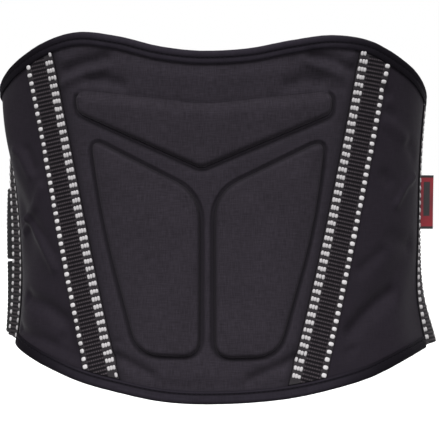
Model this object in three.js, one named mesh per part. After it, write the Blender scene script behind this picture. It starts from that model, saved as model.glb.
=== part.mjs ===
// Kidney belt for motorcycling, closed in a loop as it is worn.
// A padded back panel carries three raised foam pads. Two leaning tapes cover its seams with the side
// panels, folded bindings finish the top and bottom edges, and a tape on each side seam covers the roots
// of two elastic straps that run round to a hook-and-loop closure at the front.
//
// Units are millimetres. The origin is in the middle of the loop, +Z is up through the waist, and the
// back panel faces -Y. Every piece is worked out on one belt surface: s is the distance round the loop
// from the middle of the back, positive towards +X, z is the height, and d is the distance outwards
// from the inner face.
import * as THREE from "three";

const { lerp, smoothstep, degToRad } = THREE.MathUtils;

// The loop: a back arc and a corner arc on each side, each with its radius and the angle that its end has
// turned to, in degrees, and the same at the front. The left side is pulled in further.
const HALF_DEPTH = 112;
const LEFT_HALF = { back: { radius: 215, turn: 35 }, corner: { radius: 70, turn: 76 } };
const RIGHT_HALF = { back: { radius: 310, turn: 24 }, corner: { radius: 60, turn: 80 } };
// The loop widens above and below the waist, by this much at this height from the middle.
const FLARE = 6;
const FLARE_HEIGHT = 98;

// Outline of the bound panel: height of its edges at each distance from the middle. It hangs a little
// lower on the right.
const EDGES = [
  { s: 0, topLeft: 125.7, topRight: 125.7, bottomLeft: -126.5, bottomRight: -126.5 },
  { s: 30, topLeft: 129, topRight: 127.6, bottomLeft: -124.8, bottomRight: -125.7 },
  { s: 60, topLeft: 137, topRight: 133.8, bottomLeft: -119.3, bottomRight: -123 },
  { s: 90, topLeft: 141, topRight: 138.2, bottomLeft: -112.5, bottomRight: -117.5 },
  { s: 120, topLeft: 134.2, topRight: 134.6, bottomLeft: -102.5, bottomRight: -110 },
  { s: 150, topLeft: 120.2, topRight: 120.2, bottomLeft: -92, bottomRight: -99 },
  { s: 180, topLeft: 106.5, topRight: 105, bottomLeft: -90.5, bottomRight: -93.5 },
  { s: 210, topLeft: 97, topRight: 97, bottomLeft: -88, bottomRight: -92 },
];

// Hollows and folds that the pull of the straps leaves in the cloth. lean turns a fold from upright
// towards +s, in degrees, along and across are its reach, and rise is its height outwards.
const FOLDS = [
  { s: -188, z: -60, lean: 0, along: 142, across: 27, rise: -13.8 },
  { s: -227, z: -5, lean: 0, along: 55, across: 14.5, rise: 4 },
  { s: -225, z: 107, lean: 0, along: 39, across: 37, rise: -18.6 },
  { s: -164, z: 72, lean: -28, along: 74, across: 16.5, rise: 5 },
  { s: -156, z: -42, lean: 8, along: 70, across: 19, rise: -5 },
  { s: 225, z: -102, lean: -36, along: 40, across: 26, rise: 10 },
  { s: 171, z: -60, lean: 0, along: 40, across: 28, rise: -5.3 },
  { s: 196, z: 150, lean: 0, along: 150, across: 34, rise: -2.7 },
  { s: -80, z: 113, lean: 68, along: 22, across: 9, rise: -2 },
  { s: 76, z: 112, lean: -70, along: 24, across: 9, rise: -2 },
  { s: -147, z: 2, lean: -20, along: 30, across: 11, rise: -3 },
  { s: 138, z: -44, lean: 42, along: 28, across: 11, rise: -3 },
];

// Cloth, foam and the clearance that neighbours keep
const GAP = 0.5;
const PANEL = { edge: 3, padded: 5, ramp: 11, seam: 207 };
// The leaning tapes: distance of the middle line at its top and bottom, and its bow outwards between
const TAPE = { width: 25.4, thick: 1.2, top: 121.7, bottom: 72.8, highest: 122, lowest: -107, bow: 4.7 };
const SIDE_TAPE = { inner: 184, outer: 209.4 };
const BINDING = { leg: 9.5, thick: 1, seat: 0.4, clear: 0.75 };

// Pads: their corners, and the length of edge that the curve at each corner takes up
const PAD_HEIGHT = 3;
const UPPER_PAD = [
  { s: 0, z: 88, round: 14 },
  { s: -92.3, z: 100, round: 9 },
  { s: -92.3, z: 83.2, round: 6 },
  { s: -2.5, z: 42, round: 4 },
  { s: 90.3, z: 82, round: 5.5 },
  { s: 90.3, z: 98.5, round: 9 },
];
// Corners of the lower pads by their distance from the middle. The channel between them lies a little to
// the right, and the right pad is the wider one.
const LOWER_PADS = {
  left: [
    { s: 3.5, z: 24, round: 20 },
    { s: 3.5, z: -93, round: 13 },
    { s: 46.5, z: -92, round: 17 },
    { s: 75, z: 5, round: 40 },
    { s: 82.5, z: 65, round: 12 },
  ],
  right: [
    { s: 6.7, z: 24.8, round: 20 },
    { s: 6.7, z: -94, round: 13 },
    { s: 51, z: -93, round: 17 },
    { s: 80.5, z: 5, round: 40 },
    { s: 86, z: 64, round: 12 },
  ],
};
// Rim of a pad, from its foot inwards: distance in from the outline and share of the pad's height
const PAD_RIM = [
  { inset: 0, height: 0.15 },
  { inset: 0.8, height: 0.7 },
  { inset: 4, height: 1 },
];

// Elastic straps and the front closure. Each tab reaches back and forward from the middle of the front.
const STRAP = { width: 56, thick: 2, inner: 1 };
const STRAP_BOTTOMS = { upper: -26, lower: -84 };
const TAB = { top: 32, bottom: -86, thick: 2, inner: 3.5, back: 92, forward: 58 };
const TAB_CORNER = 26;
const TAB_SEWN = 14;
const TAB_RAMP = 26;
const PATCH = { length: 78, margin: 14, thick: 1.2 };

// Folded label in the right side seam. lift is its angle from the belt, in degrees.
const LABEL = { length: 12, height: 42, thick: 1.6, middle: 19, lift: 62 };

// Grid of each kind of piece: spans across and along it, or round a pad and in to its middle
const GRIDS = {
  backPanel: { columns: 16, rows: 14 },
  sidePanel: { columns: 9 },
  tape: { columns: 4, rows: 18 },
  sideTape: { columns: 4, rows: 12 },
  strap: { columns: 16, rows: 3 },
  tab: { columns: 20, rows: 4 },
  patch: { columns: 10, rows: 3 },
  upperPad: { round: 52, inwards: 4 },
  lowerPad: { round: 44, inwards: 3 },
  topBinding: { columns: 43 },
  bottomBinding: { columns: 40 },
  bindingFold: 4,
  label: { rows: 6, fold: 3 },
};

const FINISHES = {
  panel: { color: 0x322f36, roughness: 0.85, metalness: 0 },
  pad: { color: 0x343138, roughness: 0.85, metalness: 0 },
  binding: { color: 0x28262d, roughness: 0.6, metalness: 0 },
  tape: { color: 0x2a2729, roughness: 0.7, metalness: 0 },
  elastic: { color: 0x17151a, roughness: 0.8, metalness: 0 },
  closure: { color: 0x1c1a1f, roughness: 0.95, metalness: 0 },
  label: { color: 0x7a1a22, roughness: 0.6, metalness: 0 },
};

// The belt surface

// Arcs of one side from the middle of the back to the widest point, where the last one meets y = 0
function sideArcs({ back, corner }) {
  const arcs = [];
  const end = { x: 0, y: -HALF_DEPTH, s: 0, angle: 0 };
  const turnTo = (radius, angle) => {
    const centre = { x: end.x - radius * Math.sin(end.angle), y: end.y + radius * Math.cos(end.angle) };
    arcs.push({ ...centre, radius, start: end.s, angle: end.angle });
    end.s += radius * (angle - end.angle);
    end.x = centre.x + radius * Math.sin(angle);
    end.y = centre.y - radius * Math.cos(angle);
    end.angle = angle;
  };
  turnTo(back.radius, degToRad(back.turn));
  turnTo(corner.radius, degToRad(corner.turn));
  turnTo(-end.y / Math.cos(end.angle), Math.PI / 2);
  return { arcs, quarter: end.s, length: 2 * end.s };
}
const LEFT = sideArcs(LEFT_HALF);
const RIGHT = sideArcs(RIGHT_HALF);

// Point of the loop at s, with the angle of its outward normal from -Y towards +X
function plan(s) {
  if (s > RIGHT.length) return plan(s - RIGHT.length - LEFT.length);
  if (s < -LEFT.length) return plan(s + RIGHT.length + LEFT.length);
  const side = s < 0 ? -1 : 1;
  const half = s < 0 ? LEFT : RIGHT;
  const far = Math.abs(s);
  const front = far > half.quarter;
  const run = front ? half.length - far : far;
  const arc = half.arcs.findLast(({ start }) => run >= start);
  const turned = arc.angle + (run - arc.start) / arc.radius;
  const x = side * (arc.x + arc.radius * Math.sin(turned));
  const y = arc.y - arc.radius * Math.cos(turned);
  return front ? { x, y: -y, angle: side * (Math.PI - turned) } : { x, y, angle: side * turned };
}

// Height of the folds at a place, each one a soft ridge or hollow
function foldRise(s, z) {
  return FOLDS.reduce((sum, fold) => {
    const lean = degToRad(fold.lean);
    const ds = s - fold.s;
    const dz = z - fold.z;
    const along = (dz * Math.cos(lean) + ds * Math.sin(lean)) / fold.along;
    const across = (ds * Math.cos(lean) - dz * Math.sin(lean)) / fold.across;
    return sum + fold.rise * Math.exp(-along * along - across * across);
  }, 0);
}

function onBelt(s, z, d) {
  const { x, y, angle } = plan(s);
  const out = d + FLARE * (z / FLARE_HEIGHT) ** 2 + foldRise(s, z);
  return new THREE.Vector3(x + out * Math.sin(angle), y - out * Math.cos(angle), z);
}

// Level direction at s, turned by an angle from the outward normal towards +s
function direction(s, turn) {
  const angle = plan(s).angle + turn;
  return new THREE.Vector3(Math.sin(angle), -Math.cos(angle), 0);
}

// Lines on the belt surface

// Smooth curve through one column of the edge table
function edge(column, far) {
  const step = EDGES[1].s;
  const reach = Math.min(far, EDGES.at(-1).s);
  const i = Math.min(Math.floor(reach / step), EDGES.length - 2);
  const t = reach / step - i;
  const height = (row) => EDGES[Math.min(Math.abs(row), EDGES.length - 1)][column];
  const rise = height(i + 1) - height(i);
  const slope = (height(i + 1) - height(i - 1)) / 2;
  const endSlope = (height(i + 2) - height(i)) / 2;
  const bend = 3 * rise - 2 * slope - endSlope;
  const twist = slope + endSlope - 2 * rise;
  return height(i) + t * (slope + t * (bend + t * twist));
}
const topEdge = (s) => edge(s < 0 ? "topLeft" : "topRight", Math.abs(s));
const bottomEdge = (s) => edge(s < 0 ? "bottomLeft" : "bottomRight", Math.abs(s));

// Line at a distance in from an edge, measured square to it. up is 1 for the top edge and -1 for the bottom.
const slopeAt = (line, s) => line(s + 0.5) - line(s - 0.5);
const inFrom = (line, up, inset) => (s) => line(s) - up * inset * Math.hypot(1, slopeAt(line, s));

// The panel's own cut edge lies inside its binding, and the tapes end beside it.
const BINDING_RADIUS = PANEL.edge / 2 + BINDING.clear;
const BINDING_REACH = BINDING_RADIUS + BINDING.thick - BINDING.seat;
const panelTop = inFrom(topEdge, 1, BINDING_REACH);
const panelBottom = inFrom(bottomEdge, -1, BINDING_REACH);
const belowBinding = inFrom(topEdge, 1, BINDING.leg + GAP);
const aboveBinding = inFrom(bottomEdge, -1, BINDING.leg + GAP);

// Middle line of a leaning tape at height z, as a distance from the middle of the back
function tapeLine(z) {
  const t = (z - TAPE.lowest) / (TAPE.highest - TAPE.lowest);
  return lerp(TAPE.bottom, TAPE.top, t) + TAPE.bow * 4 * t * (1 - t);
}

// count + 1 shares from 0 to 1
const steps = (count) => Array.from({ length: count + 1 }, (_, i) => i / count);

// Marks between a low and a high line: at each margin in from both, and evenly between the last margins
function marks(count, margins = [0]) {
  const inner = margins.at(-1);
  const outer = margins.slice(0, -1);
  return [
    ...outer.map((inset) => ({ share: 0, inset })),
    ...steps(count).map((share) => ({ share, inset: inner * (1 - 2 * share) })),
    ...outer.map((inset) => ({ share: 1, inset: -inset })).reverse(),
  ];
}
const atMark = (mark, low, high) => lerp(low, high, mark.share) + mark.inset;

// Place at a mark between two side lines and a mark between two edges, which depend on each other
function between(left, right, bottom, top, column, row) {
  const passes = 6;
  let s = atMark(column, left(0), right(0));
  let z = 0;
  for (let pass = 0; pass < passes; pass += 1) {
    z = atMark(row, bottom(s), top(s));
    s = atMark(column, left(z), right(z));
  }
  return { s, z };
}

// Closed solids

// A sheet between an outer and an inner face, given as rows of point pairs. Where closed is true, the
// last row joins the first, as round a pad. Points that fall together leave no triangle.
function sheet(rows, closed = false) {
  const positions = [];
  const triangle = (a, b, c) => {
    const apart = 1e-6;
    if (a.distanceTo(b) > apart && b.distanceTo(c) > apart && c.distanceTo(a) > apart) {
      positions.push(...a, ...b, ...c);
    }
  };
  const quad = (a, b, c, d) => {
    triangle(a, b, c);
    triangle(a, c, d);
  };
  const last = rows[0].length - 1;
  const spans = closed ? rows.length : rows.length - 1;
  for (let i = 0; i < spans; i += 1) {
    const here = rows[i];
    const next = rows[(i + 1) % rows.length];
    for (let j = 0; j < last; j += 1) {
      quad(here[j].outer, next[j].outer, next[j + 1].outer, here[j + 1].outer);
      quad(here[j].inner, here[j + 1].inner, next[j + 1].inner, next[j].inner);
    }
    quad(here[0].inner, next[0].inner, next[0].outer, here[0].outer);
    quad(here[last].outer, next[last].outer, next[last].inner, here[last].inner);
  }
  if (!closed) {
    const first = rows[0];
    const end = rows.at(-1);
    for (let j = 0; j < last; j += 1) {
      quad(first[j].outer, first[j + 1].outer, first[j + 1].inner, first[j].inner);
      quad(end[j].inner, end[j + 1].inner, end[j + 1].outer, end[j].outer);
    }
  }
  const geometry = new THREE.BufferGeometry();
  geometry.setAttribute("position", new THREE.Float32BufferAttribute(positions, 3));
  geometry.computeVertexNormals();
  return geometry;
}

// A sheet on the belt: place gives s and z at two marks, and foot and face give its two distances there.
function beltSheet(columns, rows, place, foot, face) {
  const pair = ({ s, z }) => ({ outer: onBelt(s, z, face(s, z)), inner: onBelt(s, z, foot(s, z)) });
  return sheet(columns.map((column) => rows.map((row) => pair(place(column, row)))));
}

// Panels

// Outer face of the back panel: full padding in the middle, pressed thin along its seams and edges
function backPanelFace(s, z) {
  const toTape = tapeLine(z) - TAPE.width / 2 - Math.abs(s);
  const toBinding = Math.min(belowBinding(s) - z, z - aboveBinding(s));
  const full = smoothstep(Math.min(toTape, toBinding), 0, PANEL.ramp);
  return lerp(PANEL.edge, PANEL.padded, full);
}

function backPanel() {
  const seam = (z) => tapeLine(z) - GAP / 2;
  const left = (z) => -seam(z);
  const place = (column, row) => between(left, seam, panelBottom, panelTop, column, row);
  const columns = marks(GRIDS.backPanel.columns, [0, TAPE.width / 2, TAPE.width / 2 + PANEL.ramp]);
  const rows = marks(GRIDS.backPanel.rows, [0, BINDING.leg, BINDING.leg + PANEL.ramp]);
  return beltSheet(columns, rows, place, () => 0, backPanelFace);
}

// side is -1 on the left and 1 on the right, here and below.
const inOrder = (side, from, to) => (side < 0 ? [to, from] : [from, to]);

function sidePanel(side) {
  const innerSeam = (z) => side * (tapeLine(z) + GAP / 2);
  const outerSeam = () => side * PANEL.seam;
  const [left, right] = inOrder(side, innerSeam, outerSeam);
  const place = (column, row) =>
    row.bound
      ? between(left, right, panelTop, panelTop, column, row)
      : between(left, right, panelBottom, belowBinding, column, row);
  // The grid under the side tape is the tape's own, so that their faces lie side by side. One more row
  // lies under the binding.
  const open = PANEL.seam - SIDE_TAPE.inner;
  const underTape = steps(GRIDS.sideTape.columns).slice(1, -1);
  const outwards = [
    ...steps(GRIDS.sidePanel.columns).map((share) => ({ share, inset: -open * share })),
    ...underTape.map((share) => ({ share: 1, inset: share * TAPE.width - open })),
    { share: 1, inset: 0 },
  ];
  const mirrored = outwards.map(({ share, inset }) => ({ share: 1 - share, inset: -inset })).reverse();
  const rows = [...marks(GRIDS.sideTape.rows), { share: 1, inset: 0, bound: true }];
  return beltSheet(side < 0 ? mirrored : outwards, rows, place, () => 0, () => PANEL.edge);
}

// Pads

// Outline of a pad through its corners, with a curve at each corner
function padOutline(corners, side, count) {
  const points = corners.map(({ s, z }) => new THREE.Vector2(side * s, z));
  const towards = (from, to, length) => from.clone().add(to.clone().sub(from).setLength(length));
  const path = new THREE.Path();
  corners.forEach(({ round }, i) => {
    const here = points[i];
    const curveStart = towards(here, points.at(i - 1), round);
    const curveEnd = towards(here, points[(i + 1) % points.length], round);
    if (i === 0) path.moveTo(curveStart.x, curveStart.y);
    else path.lineTo(curveStart.x, curveStart.y);
    path.quadraticCurveTo(here.x, here.y, curveEnd.x, curveEnd.y);
  });
  path.closePath();
  return path.getSpacedPoints(count).slice(0, count);
}

// A foam pad on the back panel: a rounded rim and a top that follows the panel. The corners run
// anticlockwise seen from outside, so a mirrored outline is turned round.
function pad(corners, side, grid) {
  const count = grid.round;
  const points = padOutline(corners, side, count);
  if (side < 0) points.reverse();
  const middle = points.reduce((sum, point) => sum.add(point), new THREE.Vector2()).divideScalar(count);
  const foot = PANEL.padded + GAP;
  const rows = points.map((point, i) => {
    const along = points[(i + 1) % count].clone().sub(points.at(i - 1)).normalize();
    const inward = new THREE.Vector2(-along.y, along.x);
    const rim = PAD_RIM.map(({ inset, height }) => ({
      spot: point.clone().addScaledVector(inward, inset),
      height: height * PAD_HEIGHT,
    }));
    const shoulder = rim.at(-1).spot;
    const top = steps(grid.inwards)
      .slice(1)
      .map((t) => ({ spot: shoulder.clone().lerp(middle, t), height: PAD_HEIGHT }));
    return [...rim, ...top].map(({ spot, height }) => ({
      outer: onBelt(spot.x, spot.y, foot + height),
      inner: onBelt(spot.x, spot.y, foot),
    }));
  });
  return sheet(rows, true);
}

// Tapes and bindings

const TAPE_FOOT = PANEL.edge + GAP;
function tapeSheet(left, right, bottom, top, { columns, rows }) {
  const place = (column, row) => between(left, right, bottom, top, column, row);
  return beltSheet(marks(columns), marks(rows), place, () => TAPE_FOOT, () => TAPE_FOOT + TAPE.thick);
}

// Tape over the seam of the back panel and a side panel, from binding to binding
function leaningTape(side) {
  const left = (z) => side * tapeLine(z) - TAPE.width / 2;
  const right = (z) => side * tapeLine(z) + TAPE.width / 2;
  return tapeSheet(left, right, aboveBinding, belowBinding, GRIDS.tape);
}

// Tape over a side seam, from the top binding over the strap roots to the cut bottom edge
function sideTape(side) {
  const [left, right] = inOrder(side, side * SIDE_TAPE.inner, side * SIDE_TAPE.outer);
  return tapeSheet(() => left, () => right, panelBottom, belowBinding, GRIDS.sideTape);
}

// Binding folded over an edge from -end to end. up is 1 on the top edge and -1 on the bottom one.
function binding(boundEdge, up, end, { columns }) {
  const middle = PANEL.edge / 2;
  const foldMiddle = -BINDING_RADIUS - BINDING.thick;
  const rows = steps(columns).map((t) => {
    const s = lerp(-end, end, t);
    const out = new THREE.Vector2(-slopeAt(boundEdge, s), 1).normalize().multiplyScalar(up);
    const point = (across, d) => onBelt(s + out.x * across, boundEdge(s) + out.y * across, d);
    const pair = (across, turn) => {
      const [inner, outer] = [BINDING_RADIUS, BINDING_RADIUS + BINDING.thick].map((radius) =>
        point(across + radius * Math.sin(turn), middle + radius * Math.cos(turn)),
      );
      return { inner, outer };
    };
    const fold = steps(GRIDS.bindingFold).map((share) => pair(foldMiddle, share * Math.PI));
    const section = [pair(-BINDING.leg, 0), ...fold, pair(-BINDING.leg, Math.PI)];
    return up > 0 ? section : section.reverse();
  });
  return sheet(rows);
}

// Straps and front closure

const frontOf = (side) => (side < 0 ? LEFT.length : RIGHT.length);

// Elastic strap from the side seam to the sewn edge of its front tab
function strap(side, lowest) {
  const root = side * (PANEL.seam + GAP);
  const end = side * (frontOf(side) - TAB.back + TAB_SEWN);
  const [left, right] = inOrder(side, root, end);
  const place = (column, row) => ({
    s: atMark(column, left, right),
    z: atMark(row, lowest, lowest + STRAP.width),
  });
  const { columns, rows } = GRIDS.strap;
  return beltSheet(marks(columns), marks(rows), place, () => STRAP.inner, () => STRAP.inner + STRAP.thick);
}

// Front tab, sewn over the ends of its straps, with round corners at its free end. The right tab rises to
// lie over the left one, with the hook patch between them.
const PATCH_FOOT = TAB.inner + TAB.thick + GAP;
const OVER_PATCH = PATCH_FOOT + PATCH.thick + GAP;
function tab(side) {
  const start = frontOf(side) - TAB.back;
  const end = frontOf(side) + TAB.forward;
  const [left, right] = inOrder(side, side * start, side * end);
  const place = (column, row) => {
    const s = atMark(column, left, right);
    const corner = Math.max(0, TAB_CORNER - (end - Math.abs(s)));
    const cut = TAB_CORNER - Math.sqrt(TAB_CORNER ** 2 - corner ** 2);
    return { s, z: atMark(row, TAB.bottom + cut, TAB.top - cut) };
  };
  const foot = (s) => {
    const rise = side < 0 ? 0 : smoothstep(s - start - TAB_SEWN, 0, TAB_RAMP - TAB_SEWN);
    return lerp(TAB.inner, OVER_PATCH, rise);
  };
  const { columns, rows } = GRIDS.tab;
  return beltSheet(marks(columns), marks(rows), place, foot, (s) => foot(s) + TAB.thick);
}

function hookPatch() {
  const start = RIGHT.length - PATCH.length / 2;
  const place = (column, row) => ({
    s: atMark(column, start, start + PATCH.length),
    z: atMark(row, TAB.bottom + PATCH.margin, TAB.top - PATCH.margin),
  });
  const { columns, rows } = GRIDS.patch;
  return beltSheet(marks(columns), marks(rows), place, () => PATCH_FOOT, () => PATCH_FOOT + PATCH.thick);
}

// Folded label: a flat strip with a round fold that leaves the edge of the right side tape
function label() {
  const lift = degToRad(LABEL.lift);
  const root = SIDE_TAPE.outer + GAP + LABEL.thick * Math.sin(lift);
  const radius = LABEL.thick / 2;
  const rows = steps(GRIDS.label.rows).map((t) => {
    const base = onBelt(root, LABEL.middle + LABEL.height * (t - 0.5), TAPE_FOOT);
    const point = (along, across) =>
      base
        .clone()
        .addScaledVector(direction(root, Math.PI / 2 - lift), along)
        .addScaledVector(direction(root, -lift), across);
    const pair = (along, half) => ({
      outer: point(along, radius + half),
      inner: point(along, radius - half),
    });
    const fold = steps(GRIDS.label.fold).map((share) => {
      const turn = (share * Math.PI) / 2;
      return pair(LABEL.length - radius + radius * Math.sin(turn), radius * Math.cos(turn));
    });
    return [pair(0, radius), ...fold];
  });
  return sheet(rows.reverse());
}

// The assembly

const belt = new THREE.Group();
function add(name, geometry, finish) {
  const mesh = new THREE.Mesh(geometry, new THREE.MeshStandardMaterial(FINISHES[finish]));
  mesh.name = name;
  belt.add(mesh);
}

add("back_panel", backPanel(), "panel");
add("upper_pad", pad(UPPER_PAD, 1, GRIDS.upperPad), "pad");
add("top_binding", binding(topEdge, 1, PANEL.seam, GRIDS.topBinding), "binding");
add("bottom_binding", binding(bottomEdge, -1, SIDE_TAPE.inner - 2 * GAP, GRIDS.bottomBinding), "binding");
for (const [name, side] of [["left", -1], ["right", 1]]) {
  add(`lower_pad_${name}`, pad(LOWER_PADS[name], side, GRIDS.lowerPad), "pad");
  add(`side_panel_${name}`, sidePanel(side), "panel");
  add(`tape_${name}`, leaningTape(side), "tape");
  add(`side_tape_${name}`, sideTape(side), "tape");
  for (const [level, lowest] of Object.entries(STRAP_BOTTOMS)) {
    add(`${level}_strap_${name}`, strap(side, lowest), "elastic");
  }
  add(`front_tab_${name}`, tab(side), "closure");
}
add("hook_patch", hookPatch(), "closure");
add("label", label(), "label");

export default belt;
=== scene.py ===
# Looks of the kidney belt: cloth, foam pads, marked tapes, bindings, elastic straps and stitches.
# Every piece is worked out on the belt surface of the CAD model: s is the distance round the loop from
# the middle of the back, positive towards +X, z is the height and d is the distance outwards from the
# inner face. Sizes are millimetres, and points become metres where a mesh is made.
import math

import bpy
import numpy as np
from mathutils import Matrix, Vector
from mathutils.geometry import delaunay_2d_cdt


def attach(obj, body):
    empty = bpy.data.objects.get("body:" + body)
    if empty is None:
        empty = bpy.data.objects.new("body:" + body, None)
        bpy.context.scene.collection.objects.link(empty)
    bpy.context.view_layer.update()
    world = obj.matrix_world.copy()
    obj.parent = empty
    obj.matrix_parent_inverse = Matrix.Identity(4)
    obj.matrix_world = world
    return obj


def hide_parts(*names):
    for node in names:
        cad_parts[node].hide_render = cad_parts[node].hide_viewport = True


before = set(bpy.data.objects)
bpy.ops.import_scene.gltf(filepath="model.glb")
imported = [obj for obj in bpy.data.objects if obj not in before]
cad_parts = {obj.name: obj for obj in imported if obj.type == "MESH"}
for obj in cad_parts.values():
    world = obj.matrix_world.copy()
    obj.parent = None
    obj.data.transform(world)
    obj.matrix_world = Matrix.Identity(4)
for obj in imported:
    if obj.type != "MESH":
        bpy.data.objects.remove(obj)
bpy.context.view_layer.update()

MM = 0.001
RANDOM_SEED = 11

# The loop: a back arc and a corner arc on each side, each with its radius and the angle it turns to
HALF_DEPTH = 112
LEFT_HALF = {"back": (215, 35), "corner": (70, 76)}
RIGHT_HALF = {"back": (310, 24), "corner": (60, 80)}
FLARE = 6
FLARE_HEIGHT = 98

# Outline of the bound panel: height of its edges at each distance from the middle
EDGE_STEP = 30
EDGES = {
    "top_left": (125.7, 129, 137, 141, 134.2, 120.2, 106.5, 97),
    "top_right": (125.7, 127.6, 133.8, 138.2, 134.6, 120.2, 105, 97),
    "bottom_left": (-126.5, -124.8, -119.3, -112.5, -102.5, -92, -90.5, -88),
    "bottom_right": (-126.5, -125.7, -123, -117.5, -110, -99, -93.5, -92),
}

# Hollows and folds of the cloth, in columns: s, z, lean from upright towards +s in degrees, reach along the
# fold, reach across it and rise outwards
FOLDS = (
    (-188, -60, 0, 142, 27, -13.8),
    (-227, -5, 0, 55, 14.5, 4),
    (-225, 107, 0, 39, 37, -18.6),
    (-164, 72, -28, 74, 16.5, 5),
    (-156, -42, 8, 70, 19, -5),
    (225, -102, -36, 40, 26, 10),
    (171, -60, 0, 40, 28, -5.3),
    (196, 150, 0, 150, 34, -2.7),
    (-80, 113, 68, 22, 9, -2),
    (76, 112, -70, 24, 9, -2),
    (-147, 2, -20, 30, 11, -3),
    (138, -44, 42, 28, 11, -3),
)
# Finer creases of the cloth, in columns: half width, rise outwards and the places that the line runs through
CREASES = (
    (3.2, 2.8, ((-103, 104.5), (-94, 108.5), (-84.5, 111), (-68.5, 115))),
    (4.2, -3.6, ((-99.5, 114), (-87.5, 118.5), (-70, 121.5))),
    (4.4, -2.9, ((-83, 107), (-68, 105.5), (-59, 102.5))),
    (4.2, -3.6, ((75, 123), (91.5, 119.5), (103.5, 114.5))),
    (5, -3, ((58.5, 101.5), (70.5, 105.5), (80.5, 103.5))),
    (3.5, 2.3, ((70.5, 119), (82.5, 115), (94.5, 110))),
    (2.2, -1.1, ((91, 99.5), (98.5, 100.5))),
    (4, 2, ((-150, 57), (-144, 53.5), (-136.5, 39))),
    (4, -1.9, ((-139.5, 57), (-133.5, 43.5))),
    (4, 2.5, ((-126.5, 28.5), (-132, 15.5), (-145.5, 6))),
    (3.4, 2.6, ((-145.5, 6), (-129.5, -10), (-121, -21.5), (-115, -30.5))),
    (4, -1.4, ((-138, 6), (-124, -8), (-116, -20))),
    (3.4, 2, ((-145.5, 6), (-156, -4))),
    (5.5, -4, ((-143, -52.5), (-120.5, -59), (-102.5, -69.5), (-99.5, -77.5))),
    (3.5, -1.9, ((-106, -81.5), (-93, -87.5))),
    (4.5, -2.5, ((-153, -77), (-120.5, -84), (-92, -94))),
    (4, -1.9, ((131, 101), (134, 97))),
    (4, -1.9, ((136, 85), (139, 82))),
    (5, 1.5, ((135, 77), (151.5, 66))),
    (6, -1.3, ((158, 60), (164, 55))),
    (4.5, -1.9, ((135, 38), (138, 34))),
    (2.8, 2, ((168.5, 37.5), (156, 30), (145.5, 16))),
    (7, -2, ((143, -8.5), (163, -13))),
    (4.5, -1.9, ((115.5, -31.5), (132.5, -18.5))),
    (5.5, -4.6, ((106.5, -76.5), (118.5, -64.5), (130.5, -55.5), (143, -49))),
    (3, -1.4, ((103.5, -91), (109, -88))),
    (3.8, -3.6, ((-61.5, -93.5), (-49.5, -99.5), (-37, -106))),
    (2.4, -1.2, ((-64, -83), (-57.5, -83))),
    (3.8, -3.6, ((63, -94.5), (49.5, -101.5), (33, -108))),
)

GAP = 0.5
PANEL = {"edge": 3, "padded": 5, "ramp": 11, "seam": 207}
TAPE = {"width": 25.4, "thick": 1.2, "top": 121.7, "bottom": 72.8, "highest": 122, "lowest": -107, "bow": 4.7}
SIDE_TAPE = {"inner": 184, "outer": 209.4}
BINDING = {"leg": 9.5, "thick": 1, "seat": 0.4, "clear": 0.75}
BINDING_SEAMS = {"top": 4, "bottom": 2.4}
# Painted shade: the bindings turn darker between these distances from the middle of the back
SIDE_SHADE = {"from": 68, "full": 138}
TAPE_FOOT = PANEL["edge"] + GAP
BINDING_RADIUS = PANEL["edge"] / 2 + BINDING["clear"]
BINDING_REACH = BINDING_RADIUS + BINDING["thick"] - BINDING["seat"]
# Distance of the middle of a binding's fold out from the bound edge
FOLD_MIDDLE = -BINDING_RADIUS - BINDING["thick"]
# Fine form of a binding: step along it, insets of the rows at its ends, reach and number of the rows at its
# seam, rows of its fold, width and thinning of its ends, half width of its seam and its depth on both faces,
# puckers, and height of its thread
BINDING_FORM = {
    "step": 2.2, "end_rows": (0, 0.25, 0.7, 1.2), "seam_reach": 0.9, "seam_rows": 7, "fold_rows": 11,
    "end": 1.4, "end_thin": 0.5, "seam_half": 0.75, "outer_dip": 0.6, "inner_dip": 0.3,
    "pucker": 0.16, "fold_pucker": 0.4, "thread": 0.35,
}

# Pads: corners as s, z and the length of edge that the curve at the corner takes up. The lower pads'
# corners are given by their distance from the middle.
PAD_TOP = 8.5
UPPER_PAD = (
    (0, 88, 14), (-92.3, 100, 9), (-92.3, 83.2, 6), (-2.5, 42, 4), (90.3, 82, 5.5), (90.3, 98.5, 9),
)
LOWER_PADS = {
    "left": ((3.5, 24, 20), (3.5, -93, 13), (46.5, -92, 17), (75, 5, 40), (82.5, 65, 12)),
    "right": ((6.7, 24.8, 20), (6.7, -94, 13), (51, -93, 17), (80.5, 5, 40), (86, 64, 12)),
}
# Band pressed into the panel round each pad and darkened with painted shade: level of its floor, width of its
# flat and of its outer side, reach of its painted shade into the pad, and depth in the pad from which the
# panel lies at the floor
GROOVE = {"floor": 3.3, "flat": 1.7, "side": 2.4, "inside": 2.6, "covered": 0.3}
# Shares that the band loses: of its flat and depth over a pad, of its painted shade under a pad and on the
# ridge
GROOVE_LOSS = {"flat_over": 0.75, "depth_over": 0.3, "shade_under": 0.4, "shade_ridge": 0.6}
# Ridge along the middle of the band where the band is double
RIDGE = {"at": 1.2, "half": 0.7, "rise": 0.7, "wider": 0.9}
# Changes by the way an edge faces, with their share and the facings where they start and are full: the blunt
# upper edge of the upper pad, and the double band under the upper pad and over the lower ones
BLUNT = {"share": 0.86, "from": 0.5, "full": 0.85}
DOUBLE_UNDER = {"share": 1, "from": 0.2, "full": 0.7}
DOUBLE_OVER = {"share": 0.3, "from": 0.5, "full": 0.8}
# Painted shade on the panel along the leaning tapes: its share, and how far from the tape it fades
TAPE_SHADE = {"share": 0.75, "full": 1.2, "gone": 5.0}
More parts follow.
